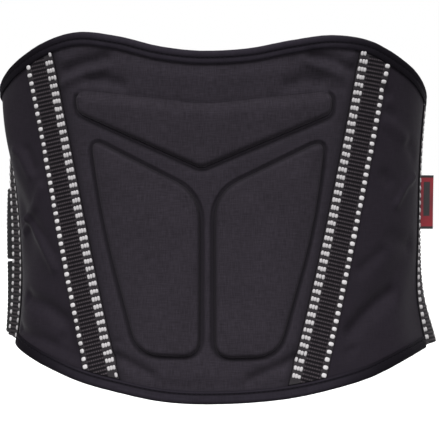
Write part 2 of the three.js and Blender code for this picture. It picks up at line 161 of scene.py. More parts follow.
# Edge of a pad: level of its foot, depth of its underside below that, width of its rounded rim and of the
# rows that are sewn down, and the crown that rises further in
PAD_EDGE = {"foot": 3.0, "sunk": 0.1, "rim": 3.4, "sewn": 1, "crown": 0.45, "crown_width": 26}
# Where the edge is blunt its rim is wider and its foot lies under the panel's face. Facing down the rim is
# wider too, and the painted shade of the groove is less.
PAD_EDGE_CHANGE = {"blunt_rim": 3, "blunt_drop": 0.15, "rim_under": 0.15, "shade_under": 0.9}
# Cover meshes: step round an outline and between places, rings of places beside a pad's outline, and how far
# other places keep clear of the rings and the borders. Under a pad every fourth place is enough.
OUTLINE_STEP = 1.3
MESH_STEP = 2.6
PANEL_RINGS = {
    "at": (0, 0.5, 1.0, 1.5, 2.0, 2.5, 3.0, 3.5, 4.2), "clear": 5.2, "border": 1.5, "under_pads": 4,
}
PAD_RINGS = {"at": (0.15, 0.45, 0.9, 1.5, 2.3, 3.3, 4.6), "clear": 5.6, "border": 0.1}
SIDE_GRID = (60, 110)

# Swelling of a pad: pressure, frames and the furthest that a point may move in mm
SWELL = {"pressure": 4.0, "frames": 20, "limit": 0.9}

STRAP = {"width": 56, "thick": 2, "inner": 1}
STRAP_BOTTOMS = {"upper": -26, "lower": -84}
# Fine form of a strap: points along it, ribs and rows of each, their fullness and rise, and its thin edges
STRAP_FORM = {
    "columns": 150, "ribs": 17, "rib_rows": 5, "fullness": 0.6, "rib_rise": 0.35,
    "edge_share": 0.02, "edge_thin": 0.3,
}
TAB = {"top": 32, "bottom": -86, "thick": 2, "inner": 3.5, "back": 92, "forward": 58}
TAB_CORNER = 26
TAB_SEWN = 14
TAB_RAMP = 26
TAB_HEIGHT = TAB["top"] - TAB["bottom"]
TAB_LENGTH = TAB["back"] + TAB["forward"]
TAB_GRID = (110, 80)
# Edge of a tab: its rounding outside and the share of that inside, its seam with the dip along it, the depth
# of the thread in it, and how far in from the strap's end the second seam there lies
TAB_EDGE = {
    "width": 1.6, "round": 0.7, "inner_share": 0.6, "seam": 4.5, "dip": 0.45, "dip_half": 0.9,
    "thread": 0.5, "second_seam": 2,
}
PATCH = {"length": 78, "margin": 14, "thick": 1.2, "hooks": 0.25, "grid": (60, 50)}
PATCH_FOOT = TAB["inner"] + TAB["thick"] + GAP
OVER_PATCH = PATCH_FOOT + PATCH["thick"] + GAP
LABEL = {"length": 12, "height": 42, "thick": 1.6, "middle": 19, "lift": 62, "cloth": 0.45, "sag": 0.3}
LABEL_GRID = {"up": 60, "leg": 16, "fold": 13}
# Length of the label's strip from the seam to its fold, and the shares of that and of its height that the
# bare field takes up
LABEL_RUN = LABEL["length"] - LABEL["thick"] / 2 + math.pi * LABEL["thick"] / 4
LABEL_FIELD = {"across": (0.24, 0.68), "up": (0.25, 0.87)}

# Marks woven into the tapes, across the tape from its middle line: one dot on one side, a dash of three
# narrow dots on the other. Each keeps clear of the tape's ends and is a little out of its place and size.
MARKS = {
    "pitch": 5.7, "start": 4.2, "dot_at": 10.3, "dash_at": 8.7, "dash_step": 2.1, "rise": 0.6, "sunk": 0.45,
}
MARK_ENDS = {"low": 1.6, "high": 0.6}
MARK_NOISE = {"shift": 0.12, "size": 0.06}
DOT_SIZE = (1.6, 2.05)
DASH_SIZE = (1.75, 1.2)
# Grey yarn between the marks, as places across the tape
MARK_COLUMNS = ((-12, -5.3), (8, 12.6))
# Ribs over the tape's middle band: their size, the band's place and soft edges, the warp yarn across them,
# their fullness, and the share of their height that is left beside the band
RIB = {
    "pitch": 2.85, "height": 0.7, "rows": 8, "from": -5.2, "to": 8.0, "soft": 0.5,
    "column": 1.7, "fullness": 0.7, "beside": 0.3,
}
# Fine form of a tape: insets of the columns at its edges and of the others, width and level of its thin
# edges, share of the ribs there, depth of its underside, and the length over which its ends turn to follow
# an edge
TAPE_FORM = {
    "edge_columns": (0, 0.25, 0.8), "inset": 2.4, "columns": 15, "edge": 0.7, "edge_level": 0.35,
    "edge_rib": 0.3, "under": 0.3, "turn": 30,
}
# Light of the room beside its own brightness, and the soft lights with the directions that they come from
ROOM_LIGHT = 0.28
SOFTBOXES = {
    "left_softbox": {"energy": 2.2, "angle": 25, "from": (-0.5, -1, 1.1)},
    "right_softbox": {"energy": 1.45, "angle": 30, "from": (0.6, -1, 1.0)},
    "low_fill": {"energy": 0.4, "angle": 60, "from": (0, -1, -0.5)},
    "overhead": {"energy": 0.6, "angle": 40, "from": (0, 0, 1)},
    "far_softbox": {"energy": 2.0, "angle": 40, "from": (0.5, 1, 0.9)},
}
STITCH = {"step": 3.4, "half_length": 1.25, "half_width": 0.3, "rise": 0.3, "ahead": 0.4}
# Form of a bead: sides, heights of its rings in degrees, powers that square its footprint and fill its dome,
# and the half size of its texture
BEAD = {"sides": 12, "rings": (0, 32, 62), "square": 0.75, "fill": 0.7, "cloth": 2}
# Woven cloths: their colours, what differs from the usual threads and finish, and how dark their painted
# shade is
WEAVES = {
    "panel_cloth": {"colour": (0.024, 0.0203, 0.0268), "spread": 0.36, "painted_shade_strength": 0.44},
    "pad_cloth": {"colour": (0.0245, 0.0207, 0.027), "spread": 0.36, "painted_shade_strength": 0.44},
    "side_cloth": {
        "colour": (0.0188, 0.0156, 0.021), "pitch": 0.7, "relief": 0.1, "roughness": 0.6, "specular": 0.02,
    },
    "lining": {"colour": (0.022, 0.021, 0.024), "pitch": 1.4, "relief": 0.3, "roughness": 0.9, "spread": 0.3},
    "binding_cloth": {
        "colour": (0.0226, 0.0194, 0.0264), "pitch": 0.6, "relief": 0.08, "roughness": 0.7, "specular": 0.02,
        "sheen": 0.0, "painted_shade_strength": 0.68,
    },
    "elastic": {"colour": (0.0062, 0.0058, 0.0072), "pitch": 1.1, "relief": 0.15, "spread": 0.3},
    "tab_cloth": {"colour": (0.022, 0.0205, 0.0245), "roughness": 0.75},
}
PILES = {
    "loop_pile": {"colour": (0.02, 0.0185, 0.0215), "scale": 1.6, "relief": 0.5},
    "hook_tape": {"colour": (0.012, 0.012, 0.013), "scale": 2.4, "relief": 0.4},
}
THREADS = {
    "black_thread": {"colour": (0.0125, 0.011, 0.0148), "spread": 0.3, "roughness": 0.8, "specular": 0.05},
    "white_dot": {"colour": (0.62, 0.6, 0.61), "spread": 0.1, "roughness": 0.7, "specular": 0.2},
    "white_dash": {"colour": (0.5, 0.48, 0.49), "spread": 0.14, "roughness": 0.7, "specular": 0.2},
}
# Tape colours: its ground, the painted highlight along its rib crests, and the grey yarn between its marks
TAPE_COLOURS = {
    "ground": (0.0066, 0.0056, 0.0072), "rib": (0.084, 0.07, 0.078), "mark_yarn": (0.03, 0.027, 0.03),
}
LABEL_COLOURS = {
    "red": (0.27, 0.009, 0.02), "deep": (0.15, 0.007, 0.015),
    "black": (0.006, 0.005, 0.006), "pale_black": (0.016, 0.013, 0.016),
}
SHEEN_ROUGHNESS = 0.45
OFF = (0, 0, 0)
ON = (1, 1, 1)
# Floor and camera, in metres. The camera's lens and sensor are in millimetres.
FLOOR = {"level": -0.32, "half_size": 60, "colour": (0.95, 0.95, 0.95, 1)}
CAMERA = {"lens": 125, "sensor": 36, "near": 0.05, "at": (0.0108, -1.212, 0.005)}


# The belt surface

def smoothstep(value, low, high):
    share = np.clip((value - low) / (high - low), 0, 1)
    return share * share * (3 - 2 * share)


def mix(low, high, share):
    return low + (high - low) * share


def unit(vectors):
    return vectors / np.linalg.norm(vectors, axis=-1, keepdims=True)


def quarter_turn(places):
    """Directions turned by a quarter, anticlockwise seen from outside."""
    return np.stack([-places[:, 1], places[:, 0]], -1)


def soft_line(away, middle, half):
    return np.exp(-(((away - middle) / half) ** 2))


def run_along(path):
    """Length along a path of places at each of them."""
    return np.concatenate([[0], np.cumsum(np.hypot(*np.diff(path, axis=0).T))])


def places_at(marks, run, path):
    """Places of a path at some lengths along it."""
    return np.stack([np.interp(marks, run, path[:, i]) for i in (0, 1)], -1)


def side_arcs(half):
    """Arcs of one side from the middle of the back to the widest point, as columns."""
    x, y, s, angle = 0.0, -HALF_DEPTH, 0.0, 0.0
    rows = []
    for radius, turn in (half["back"], half["corner"], (None, 90)):
        radius = radius or -y / math.cos(angle)
        centre_x = x - radius * math.sin(angle)
        centre_y = y + radius * math.cos(angle)
        rows.append((s, angle, radius, centre_x, centre_y))
        end = math.radians(turn)
        s += radius * (end - angle)
        angle = end
        x = centre_x + radius * math.sin(angle)
        y = centre_y - radius * math.cos(angle)
    start, angles, radii, xs, ys = np.array(rows).T
    return {"start": start, "angle": angles, "radius": radii, "x": xs, "y": ys, "quarter": s, "length": 2 * s}


LEFT = side_arcs(LEFT_HALF)
RIGHT = side_arcs(RIGHT_HALF)
LOOP = LEFT["length"] + RIGHT["length"]


def half_plan(far, half):
    front = far > half["quarter"]
    run = np.where(front, half["length"] - far, far)
    arc = np.clip(np.searchsorted(half["start"], run, side="right") - 1, 0, len(half["start"]) - 1)
    turned = half["angle"][arc] + (run - half["start"][arc]) / half["radius"][arc]
    x = half["x"][arc] + half["radius"][arc] * np.sin(turned)
    y = half["y"][arc] - half["radius"][arc] * np.cos(turned)
    return x, np.where(front, -y, y), np.where(front, np.pi - turned, turned)


def plan(s):
    """Point of the loop at s, with the angle of its outward normal from -Y towards +X."""
    s = np.where(s > RIGHT["length"], s - LOOP, s)
    s = np.where(s < -LEFT["length"], s + LOOP, s)
    x_left, y_left, angle_left = half_plan(np.abs(s), LEFT)
    x_right, y_right, angle_right = half_plan(np.abs(s), RIGHT)
    left = s < 0
    return (
        np.where(left, -x_left, x_right),
        np.where(left, y_left, y_right),
        np.where(left, -angle_left, angle_right),
    )


def crease_rise(s, z, width, rise, path):
    """A soft line through several places, fading out beside it and past its ends."""
    nearest = np.full(len(s), np.inf)
    for start, end in zip(path, path[1:]):
        run = end - start
        share = np.clip(((s - start[0]) * run[0] + (z - start[1]) * run[1]) / (run @ run), 0, 1)
        ds = s - start[0] - share * run[0]
        dz = z - start[1] - share * run[1]
        nearest = np.minimum(nearest, ds**2 + dz**2)
    return rise * np.exp(-nearest / width**2)


def fold_rise(s, z):
    """How far all folds and creases move the cloth outwards."""
    total = np.zeros(np.broadcast(s, z).shape)
    for fold_s, fold_z, lean, reach_along, reach_across, rise in FOLDS:
        lean = math.radians(lean)
        ds = s - fold_s
        dz = z - fold_z
        along = (dz * math.cos(lean) + ds * math.sin(lean)) / reach_along
        across = (ds * math.cos(lean) - dz * math.sin(lean)) / reach_across
        total = total + rise * np.exp(-along**2 - across**2)
    widths_reached = 3
    for width, rise, path in CREASES:
        path = np.array(path, float)
        reach = widths_reached * width
        low = path.min(0) - reach
        high = path.max(0) + reach
        near = (s > low[0]) & (s < high[0]) & (z > low[1]) & (z < high[1])
        total[near] += crease_rise(s[near], z[near], width, rise, path)
    return total


def on_belt(s, z, d):
    """Points in metres at s, z and d, each a number or an array."""
    s, z, d = np.broadcast_arrays(np.asarray(s, float), np.asarray(z, float), np.asarray(d, float))
    x, y, angle = plan(s)
    out = d + FLARE * (z / FLARE_HEIGHT) ** 2 + fold_rise(s, z)
    return np.stack([x + out * np.sin(angle), y - out * np.cos(angle), z], -1) * MM


def direction(s, turn):
    """Level direction at s, turned from the outward normal towards +s."""
    angle = plan(np.asarray(s, float))[2] + turn
    return np.stack([np.sin(angle), -np.cos(angle), np.zeros_like(angle)], -1)


# Lines on the belt surface

def edge(column, far):
    heights = np.array(EDGES[column], float)
    last = len(heights) - 1
    reach = np.minimum(far, last * EDGE_STEP) / EDGE_STEP
    i = np.minimum(np.floor(reach).astype(int), last - 1)
    t = reach - i
    before = heights[np.abs(i - 1)]
    here = heights[i]
    after = heights[i + 1]
    beyond = heights[np.minimum(i + 2, last)]
    rise = after - here
    slope = (after - before) / 2
    end_slope = (beyond - here) / 2
    return here + t * (slope + t * (3 * rise - 2 * slope - end_slope + t * (slope + end_slope - 2 * rise)))


def top_edge(s):
    return np.where(s < 0, edge("top_left", np.abs(s)), edge("top_right", np.abs(s)))


def bottom_edge(s):
    return np.where(s < 0, edge("bottom_left", np.abs(s)), edge("bottom_right", np.abs(s)))


def slope_at(line, s):
    return line(s + 0.5) - line(s - 0.5)


def in_from(line, up, inset):
    """Line at a distance in from an edge, measured square to it. up is 1 at the top and -1 at the bottom."""
    return lambda s: line(s) - up * inset * np.hypot(1, slope_at(line, s))


panel_top = in_from(top_edge, 1, BINDING_REACH)
panel_bottom = in_from(bottom_edge, -1, BINDING_REACH)
below_binding = in_from(top_edge, 1, BINDING["leg"] + GAP)
above_binding = in_from(bottom_edge, -1, BINDING["leg"] + GAP)


def tape_line(z):
    """Middle line of a leaning tape at height z, as a distance from the middle of the back."""
    t = (z - TAPE["lowest"]) / (TAPE["highest"] - TAPE["lowest"])
    return mix(TAPE["bottom"], TAPE["top"], t) + TAPE["bow"] * 4 * t * (1 - t)


def between(left, right, bottom, top, across, along):
    """s and z at shares between two side lines and two edges, which depend on each other."""
    passes = 6
    s = mix(left(0 * along), right(0 * along), across)
    z = 0 * s
    for _ in range(passes):
        z = mix(bottom(s), top(s), along)
        s = mix(left(z), right(z), across)
    return s, z


# Meshes

def grid_faces(rows, columns):
    """Quads of a grid of points numbered row by row, facing out where rows run along s and columns up."""
    corner = np.arange(rows * columns).reshape(rows, columns)
    return np.stack([corner[:-1, :-1], corner[1:, :-1], corner[1:, 1:], corner[:-1, 1:]], -1).reshape(-1, 4)


def wall_faces(border, offset):
    """Quads from each directed border edge of an outer face to the same edge of its inner face."""
    a, b = border.T
    return np.stack([b, a, a + offset, b + offset], -1)


def border_edges(faces):
    """Directed edges that only one face has."""
    edges = np.stack([faces, np.roll(faces, -1, 1)], -1).transpose(1, 0, 2).reshape(-1, 2)
    size = faces.max() + 1
    forward = edges[:, 0] * size + edges[:, 1]
    backward = edges[:, 1] * size + edges[:, 0]
    return edges[~np.isin(forward, backward)]


def make_object(name, points, faces, cloth, materials, face_material=None):
    """A smooth mesh object. faces is a list of index arrays, cloth the texture place of each point in mm."""
    mesh = bpy.data.meshes.new(name)
    rows = [row for block in faces for row in block.tolist()]
    mesh.from_pydata(points.tolist(), [], rows)
    corner = np.zeros(len(mesh.loops), np.int32)
    mesh.loops.foreach_get("vertex_index", corner)
    layer = mesh.uv_layers.new(name="cloth")
    layer.uv.foreach_set("vector", cloth[corner].astype(np.float32).ravel())
    mesh.polygons.foreach_set("use_smooth", np.ones(len(mesh.polygons), bool))
    for material in materials:
        mesh.materials.append(material)
    if face_material is not None:
        mesh.polygons.foreach_set("material_index", face_material.astype(np.int32))
    mesh.update()
    made = bpy.data.objects.new(name, mesh)
    bpy.context.scene.collection.objects.link(made)
    return made


def make_shell(name, outer, inner, faces, cloth, materials):
    """A closed sheet: an outer and an inner face with the same layout, and a flat wall round the border.
    The second material, where there is one, goes on the inner face."""
    count = len(outer)
    wall = wall_faces(border_edges(faces), count)
    blocks = [faces, faces[:, ::-1] + count, wall]
    lining = np.repeat([0, 1, 0], [len(block) for block in blocks])
    points = np.concatenate([outer, inner])
    face_material = lining if len(materials) > 1 else None
    made = make_object(name, points, blocks, np.concatenate([cloth, cloth]), materials, face_material)
    smooth = np.arange(len(made.data.polygons)) < 2 * len(faces)
    made.data.polygons.foreach_set("use_smooth", smooth)
    return made


def make_grid_shell(name, outer, inner, cloth, materials):
    """A closed sheet from two grids of points."""
    faces = grid_faces(*outer.shape[:2])
    outer, inner, cloth = (block.reshape(-1, block.shape[-1]) for block in (outer, inner, cloth))
    return make_shell(name, outer, inner, faces, cloth, materials)


def belt_grid(name, s, z, outer, inner, materials, cloth=None):
    """A closed sheet over a grid of places on the belt, between an outer and an inner level."""
    cloth = np.stack([s, z], -1) if cloth is None else cloth
    return make_grid_shell(name, on_belt(s, z, outer), on_belt(s, z, inner), cloth, materials)


def settle(piece, slot, *nodes):
    """The piece rides on the belt's one body and stands for its CAD nodes, which it hides. slot is not used.
    """
    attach(piece, "root")
    if nodes:
        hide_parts(*nodes)
    return piece


def cloth_sheet(piece):
    """Returns the piece as it is."""
    return piece


# Outlines and filled outlines

def rounded_outline(corners, side, spacing):
    """Points round a pad, anticlockwise seen from outside, with a curve at each corner."""
    places = np.array([(side * s, z) for s, z, _ in corners], float)
    rounds = [length for _, _, length in corners]
    curve_steps = 12
    path = []
    for i, here in enumerate(places):
        before = places[i - 1] - here
        after = places[(i + 1) % len(places)] - here
        start = here + before / np.hypot(*before) * rounds[i]
        end = here + after / np.hypot(*after) * rounds[i]
        for t in np.linspace(0, 1, curve_steps):
            path.append((1 - t) ** 2 * start + 2 * t * (1 - t) * here + t * t * end)
    path = np.array(path if side > 0 else path[::-1])
    return spaced_loop(path, spacing)


def spaced_loop(path, spacing):
    """Evenly spaced points round a closed path."""
    closed = np.vstack([path, path[:1]])
    run = run_along(closed)
    marks = np.linspace(0, run[-1], int(run[-1] / spacing), endpoint=False)
    return places_at(marks, run, closed)


def inward_of(outline):
    return quarter_turn(unit(np.roll(outline, -1, 0) - np.roll(outline, 1, 0)))


def inside(outline, places):
    """Which places lie inside an outline, by the crossings of a level ray."""
    s, z = places.T
    found = np.zeros(len(places), bool)
    for (s0, z0), (s1, z1) in zip(outline, np.roll(outline, -1, 0)):
        crosses = (z0 > z) != (z1 > z)
        if crosses.any():
            found ^= crosses & (s < s0 + (z - z0) * (s1 - s0) / (z1 - z0 if z1 != z0 else 1))
    return found


def depth_in(outline, places):
    """Distance of each place in from an outline, negative outside, and the nearest outline point."""
    starts = outline
    runs = np.roll(outline, -1, 0) - outline
    best = np.full(len(places), np.inf)
    nearest = np.zeros(len(places), int)
    for i, (start, run) in enumerate(zip(starts, runs)):
        share = np.clip((places - start) @ run / (run @ run), 0, 1)
        gap = np.hypot(*(places - start - share[:, None] * run).T)
        closer = gap < best
        best[closer] = gap[closer]
        nearest[closer] = i
    return np.where(inside(outline, places), best, -best), nearest


def hex_grid(low, high, step):
    rows = np.arange(low[1], high[1], step * math.sqrt(3) / 2)
    columns = np.arange(low[0], high[0], step)
    s, z = np.meshgrid(columns, rows)
    s = s + np.where(np.arange(len(rows)) % 2, step / 2, 0)[:, None]
    return np.stack([s.ravel(), z.ravel()], -1)


def fill(outline, extra):
    """Triangles over an outline through the given places inside it."""
    places = np.vstack([outline, extra])
    count = len(outline)
    loop = [(i, (i + 1) % count) for i in range(count)]
    inside_only = 1
    close = 1e-4
    made = delaunay_2d_cdt([Vector(p) for p in places], loop, [], inside_only, close, False)
    points = np.array([tuple(p) for p in made[0]])
    triangles = np.array(made[2])
    return points, triangles[inside(outline, points[triangles].mean(1))]


# Back panel and pads

OUTLINES = {
    "upper_pad": rounded_outline(UPPER_PAD, 1, OUTLINE_STEP),
    "lower_pad_left": rounded_outline(LOWER_PADS["left"], -1, OUTLINE_STEP),
    "lower_pad_right": rounded_outline(LOWER_PADS["right"], 1, OUTLINE_STEP),
}


def sharpness(name, facing_up):
    """How deep the groove is by the way the edge faces: shallow along the upper edge of the upper pad."""
    return 1 - by_facing(facing_up, BLUNT) if name == "upper_pad" else np.ones(len(facing_up))


def doubled(name, facing_up):
    """How far the band is double by the way the edge faces: under the upper pad, and less over the others."""
    return by_facing(-facing_up, DOUBLE_UNDER) if name == "upper_pad" else by_facing(facing_up, DOUBLE_OVER)


def by_facing(facing, change):
    """Share of a change by the way an edge faces."""
    return change["share"] * smoothstep(facing, change["from"], change["full"])


def to_tape(s, z):
    """Distance of a place on the back panel from the leaning tape on its side."""
    return tape_line(z) - TAPE["width"] / 2 - np.abs(s)


def back_panel_outline():
    """Corner to corner round the back panel, anticlockwise seen from outside."""
    count = 96
    t = np.linspace(0, 1, count, endpoint=False)
    seam = lambda z: tape_line(z) - GAP / 2
    left = lambda z: -seam(z)
    sides = [(t, 0 * t), (1 + 0 * t, t), (1 - t, 1 + 0 * t), (0 * t, 1 - t)]
    runs = [np.stack(between(left, seam, panel_bottom, panel_top, *side), -1) for side in sides]
    return np.concatenate(runs)


def panel_face(s, z):
    """Outer face of the back panel without grooves: padded in the middle, thin along its seams."""
    to_binding = np.minimum(below_binding(s) - z, z - above_binding(s))
    full = smoothstep(np.minimum(to_tape(s, z), to_binding), 0, PANEL["ramp"])
    return mix(PANEL["edge"], PANEL["padded"], full)


def panel_places():
    """Places over the back panel, closer together round the pads, and the triangles between them."""
    outline = back_panel_outline()
    grid = hex_grid(outline.min(0), outline.max(0), MESH_STEP)
    grid = grid[depth_in(outline, grid)[0] > PANEL_RINGS["border"]]
    rings = []
    for pad_outline in OUTLINES.values():
        depth = depth_in(pad_outline, grid)[0]
        sparse = np.arange(len(grid)) % PANEL_RINGS["under_pads"] == 0
        grid = grid[(depth < -PANEL_RINGS["clear"]) | ((depth > PANEL_RINGS["border"]) & sparse)]
        rings += [pad_outline - inward_of(pad_outline) * away for away in PANEL_RINGS["at"]]
    return fill(outline, np.vstack([grid, *rings]))


def back_panel(cloth, lining):
    """The padded panel with a band sunk round each pad, and painted shade in the bands and beside the tapes.
    """
    places, triangles = panel_places()
    s, z = places.T
    face = panel_face(s, z)
    # Painted shade: a strip beside each leaning tape, then the bands round the pads
    painted_shade = TAPE_SHADE["share"] * (1 - smoothstep(to_tape(s, z), TAPE_SHADE["full"], TAPE_SHADE["gone"]))
    for name, outline in OUTLINES.items():
        depth, nearest = depth_in(outline, places)
        facing_up = -inward_of(outline)[nearest, 1]
        over = np.maximum(facing_up, 0)
        under = np.maximum(-facing_up, 0)
        double = doubled(name, facing_up)
        flat = GROOVE["flat"] * (1 - GROOVE_LOSS["flat_over"] * over) + RIDGE["wider"] * double
        sharp = sharpness(name, facing_up) * (1 - GROOVE_LOSS["depth_over"] * over)
        sharp = np.where(depth > GROOVE["covered"], 1, sharp)
        band = sharp * (1 - smoothstep(-depth - flat, 0, GROOVE["side"]))
        ridge = double * soft_line(-depth, RIDGE["at"], RIDGE["half"])
        face = mix(face, GROOVE["floor"], band) + RIDGE["rise"] * ridge
        shade = band * (1 - GROOVE_LOSS["shade_ridge"] * ridge) * (1 - GROOVE_LOSS["shade_under"] * under)
        painted_shade = np.maximum(painted_shade, shade)
    outer = on_belt(s, z, face)
    inner = on_belt(s, z, 0)
    piece = make_shell("back_panel_cover", outer, inner, triangles, places, [cloth, lining])
    mark_painted_shade(piece, painted_shade)
    settle(piece, "panel", "back_panel")
    return piece


def pad_places(outline):
    """Places over a pad, closer together along its rim, and the triangles between them."""
    grid = hex_grid(outline.min(0), outline.max(0), MESH_STEP)
    grid = grid[depth_in(outline, grid)[0] > PAD_RINGS["clear"]]
    rings = [outline + inward_of(outline) * inset for inset in PAD_RINGS["at"]]
    extra = np.vstack([grid, *rings])
    return fill(outline, extra[depth_in(outline, extra)[0] > PAD_RINGS["border"]])


def mark_painted_shade(piece, painted_shade):
    """Tells the material how much painted shade each point of both faces gets."""
    layer = piece.data.attributes.new("painted_shade", "FLOAT", "POINT")
    layer.data.foreach_set("value", np.concatenate([painted_shade, painted_shade]).astype(np.float32))


def pad(name, cloth):
    """A raised foam pad with a rounded rim and a low crown, swelled a little."""
    outline = OUTLINES[name]
    places, triangles = pad_places(outline)
    s, z = places.T
    depth, nearest = depth_in(outline, places)
    depth = np.maximum(depth, 0)
    facing_up = -inward_of(outline)[nearest, 1]
    under = np.maximum(-facing_up, 0)
    sharp = sharpness(name, facing_up)
    change = PAD_EDGE_CHANGE
    rim = PAD_EDGE["rim"] * mix(change["blunt_rim"], 1, sharp) * (1 + change["rim_under"] * under)
    share = np.clip(depth / rim, 0, 1)
    shoulder = mix(smoothstep(share, 0, 1), np.sqrt(1 - (1 - share) ** 2), sharp)
    crown = PAD_EDGE["crown"] * smoothstep(depth, 0, PAD_EDGE["crown_width"])
    foot = mix(PANEL["padded"] - change["blunt_drop"], PAD_EDGE["foot"], sharp)
    face = mix(foot, PAD_TOP - PAD_EDGE["crown"], shoulder) + crown
    outer = on_belt(s, z, face)
    inner = on_belt(s, z, PAD_EDGE["foot"] - PAD_EDGE["sunk"])
    piece = make_shell(name + "_cover", outer, inner, triangles, places, [cloth])
    # Painted shade along the rim beside the groove, less where the edge faces down
    shade = sharp * (1 - smoothstep(depth, 0, GROOVE["inside"]))
    mark_painted_shade(piece, shade * (1 - change["shade_under"] * under))
    swell(piece, np.concatenate([depth < PAD_EDGE["sewn"], np.ones(len(depth), bool)]))
    settle(piece, "pad", name)
    return piece


def points_of(mesh):
    points = np.zeros(3 * len(mesh.vertices), np.float32)
    mesh.vertices.foreach_get("co", points)
    return points.reshape(-1, 3)


def swell(piece, sewn):
    """Lets a pad swell under a little pressure, as a cloth simulation with its sewn points held."""
    held = piece.vertex_groups.new(name="sewn")
    held.add(np.flatnonzero(sewn).tolist(), 1.0, "REPLACE")
    cloth = piece.modifiers.new("swell", "CLOTH")
    cloth.settings.vertex_group_mass = held.name
    cloth.settings.use_pressure = True
    cloth.settings.uniform_pressure_force = SWELL["pressure"]
    cloth.settings.effector_weights.gravity = 0
    scene = bpy.context.scene
    for step in range(SWELL["frames"]):
        scene.frame_set(step + 1)
    shaped = piece.evaluated_get(bpy.context.evaluated_depsgraph_get())
    start = points_of(piece.data)
    move = points_of(shaped.data) - start
    far = np.linalg.norm(move, axis=1, keepdims=True)
    move = move * np.minimum(1, SWELL["limit"] * MM / np.maximum(far, 1e-9))
    piece.modifiers.remove(cloth)
    piece.vertex_groups.remove(held)
    piece.data.vertices.foreach_set("co", (start + move).ravel())
    piece.data.update()
    scene.frame_set(1)


# Side panels

def side_panel(side, word, cloth, lining):
    """The thin soft panel between a leaning tape and the side seam."""
    inner_seam = lambda z: side * (tape_line(z) + GAP / 2)
    outer_seam = lambda z: side * PANEL["seam"] + 0 * z
    left, right = (outer_seam, inner_seam) if side < 0 else (inner_seam, outer_seam)
    across, along = np.meshgrid(*(np.linspace(0, 1, count) for count in SIDE_GRID), indexing="ij")
    s, z = between(left, right, panel_bottom, panel_top, across, along)
    piece = belt_grid(f"side_panel_{word}_cover", s, z, PANEL["edge"], 0, [cloth, lining])
    settle(piece, "panel", f"side_panel_{word}")
    return piece


# Tapes and their marks

def leaning_centre(side):
    """Middle line of a leaning tape from bottom to top, reaching past both edges."""
    past = 12
    count = 400
    z = np.linspace(TAPE["lowest"] - past, TAPE["highest"] + past, count)
    return np.stack([side * tape_line(z), z], -1)


def upright_centre(side):
    """Middle line of a side tape from bottom to top, reaching past both edges."""
    reach = 100
    count = 200
    z = np.linspace(-reach, reach, count)
    middle = side * (SIDE_TAPE["inner"] + SIDE_TAPE["outer"]) / 2
    return np.stack([middle + 0 * z, z], -1)


class TapePath:
    """Places along and across a tape: u runs up its middle line, v across it towards +s."""

    def __init__(self, centre):
        self.run = run_along(centre)
        self.centre = centre
        self.across = -quarter_turn(np.gradient(centre, self.run, axis=0))

    def at(self, u, v):
        """s and z at u and v."""
        pick = lambda column: np.interp(u, self.run, column)
        s, z = (pick(self.centre[:, i]) + v * pick(self.across[:, i]) for i in (0, 1))
        return s, z

    def meet(self, line, v, up):
        """u where the line at each v meets an edge line, searched from the middle outwards."""
        steps = 1500
        u = np.linspace(self.run[-1] / 2, self.run[-1] if up > 0 else 0, steps)
        found = []
        for across in v:
            s, z = self.at(u, across)
            past = (z - line(s)) * up > 0
            found.append(u[np.argmax(past)] if past.any() else u[-1])
        return np.array(found)


def rib_height(u, v, flip):
    """Ribs across the dark middle band, and low ones under the marks."""
    across = flip * v
    starts = smoothstep(across, RIB["from"] - RIB["soft"], RIB["from"])
    ends = smoothstep(across, RIB["to"] + RIB["soft"], RIB["to"])
    wave = np.abs(np.sin(np.pi * u / RIB["pitch"])) ** RIB["fullness"]
    return RIB["height"] * wave * mix(RIB["beside"], 1, starts * ends)


def tape_columns():
    """Places across a tape, closer together at its edges."""
    half = TAPE["width"] / 2
    insets = np.array(TAPE_FORM["edge_columns"])
    inner = np.linspace(TAPE_FORM["inset"] - half, half - TAPE_FORM["inset"], TAPE_FORM["columns"])
    return np.concatenate([insets - half, inner, half - insets[::-1]])


def tape(node, path, bottom, top, flip, lies_on, cloth, marks):
    """A ribbed tape between two edge lines, with its rows of marks. flip is 1 where the dash is at -v."""
    name = node + "_cloth"
    v = tape_columns()
    low = path.meet(bottom, v, -1)
    high = path.meet(top, v, 1)
    middle = len(v) // 2
    u_row = np.arange(low[middle], high[middle], RIB["pitch"] / RIB["rows"])
    near_low = 1 - smoothstep(u_row, u_row[0], u_row[0] + TAPE_FORM["turn"])
    near_high = smoothstep(u_row, u_row[-1] - TAPE_FORM["turn"], u_row[-1])
    u = u_row + np.outer(low - low[middle], near_low) + np.outer(high - high[middle], near_high)
    across = np.repeat(v[:, None], len(u_row), 1)
    s, z = path.at(u, across)
    full = smoothstep(TAPE["width"] / 2 - np.abs(across), 0, TAPE_FORM["edge"])
    body = mix(TAPE_FORM["edge_level"], TAPE["thick"] - RIB["height"], full)
    ribs = rib_height(u, across, flip) * mix(TAPE_FORM["edge_rib"], 1, full)
    places = np.stack([flip * across, u], -1)
    piece = belt_grid(name, s, z, TAPE_FOOT + body + ribs, TAPE_FOOT - TAPE_FORM["under"], [cloth], places)
    settle(piece, "tape", node)
    dash_places = [i * MARKS["dash_step"] - MARKS["dash_at"] for i in (-1, 0, 1)]
    columns = {
        "dots": [(flip * MARKS["dot_at"], DOT_SIZE)],
        "dashes": [(flip * dash, DASH_SIZE) for dash in dash_places],
    }
    woven_in = [
        tape_marks(f"{name}_{kind}", path, low, high, v, columns[kind], marks[kind]) for kind in columns
    ]
    return cloth_sheet(piece)


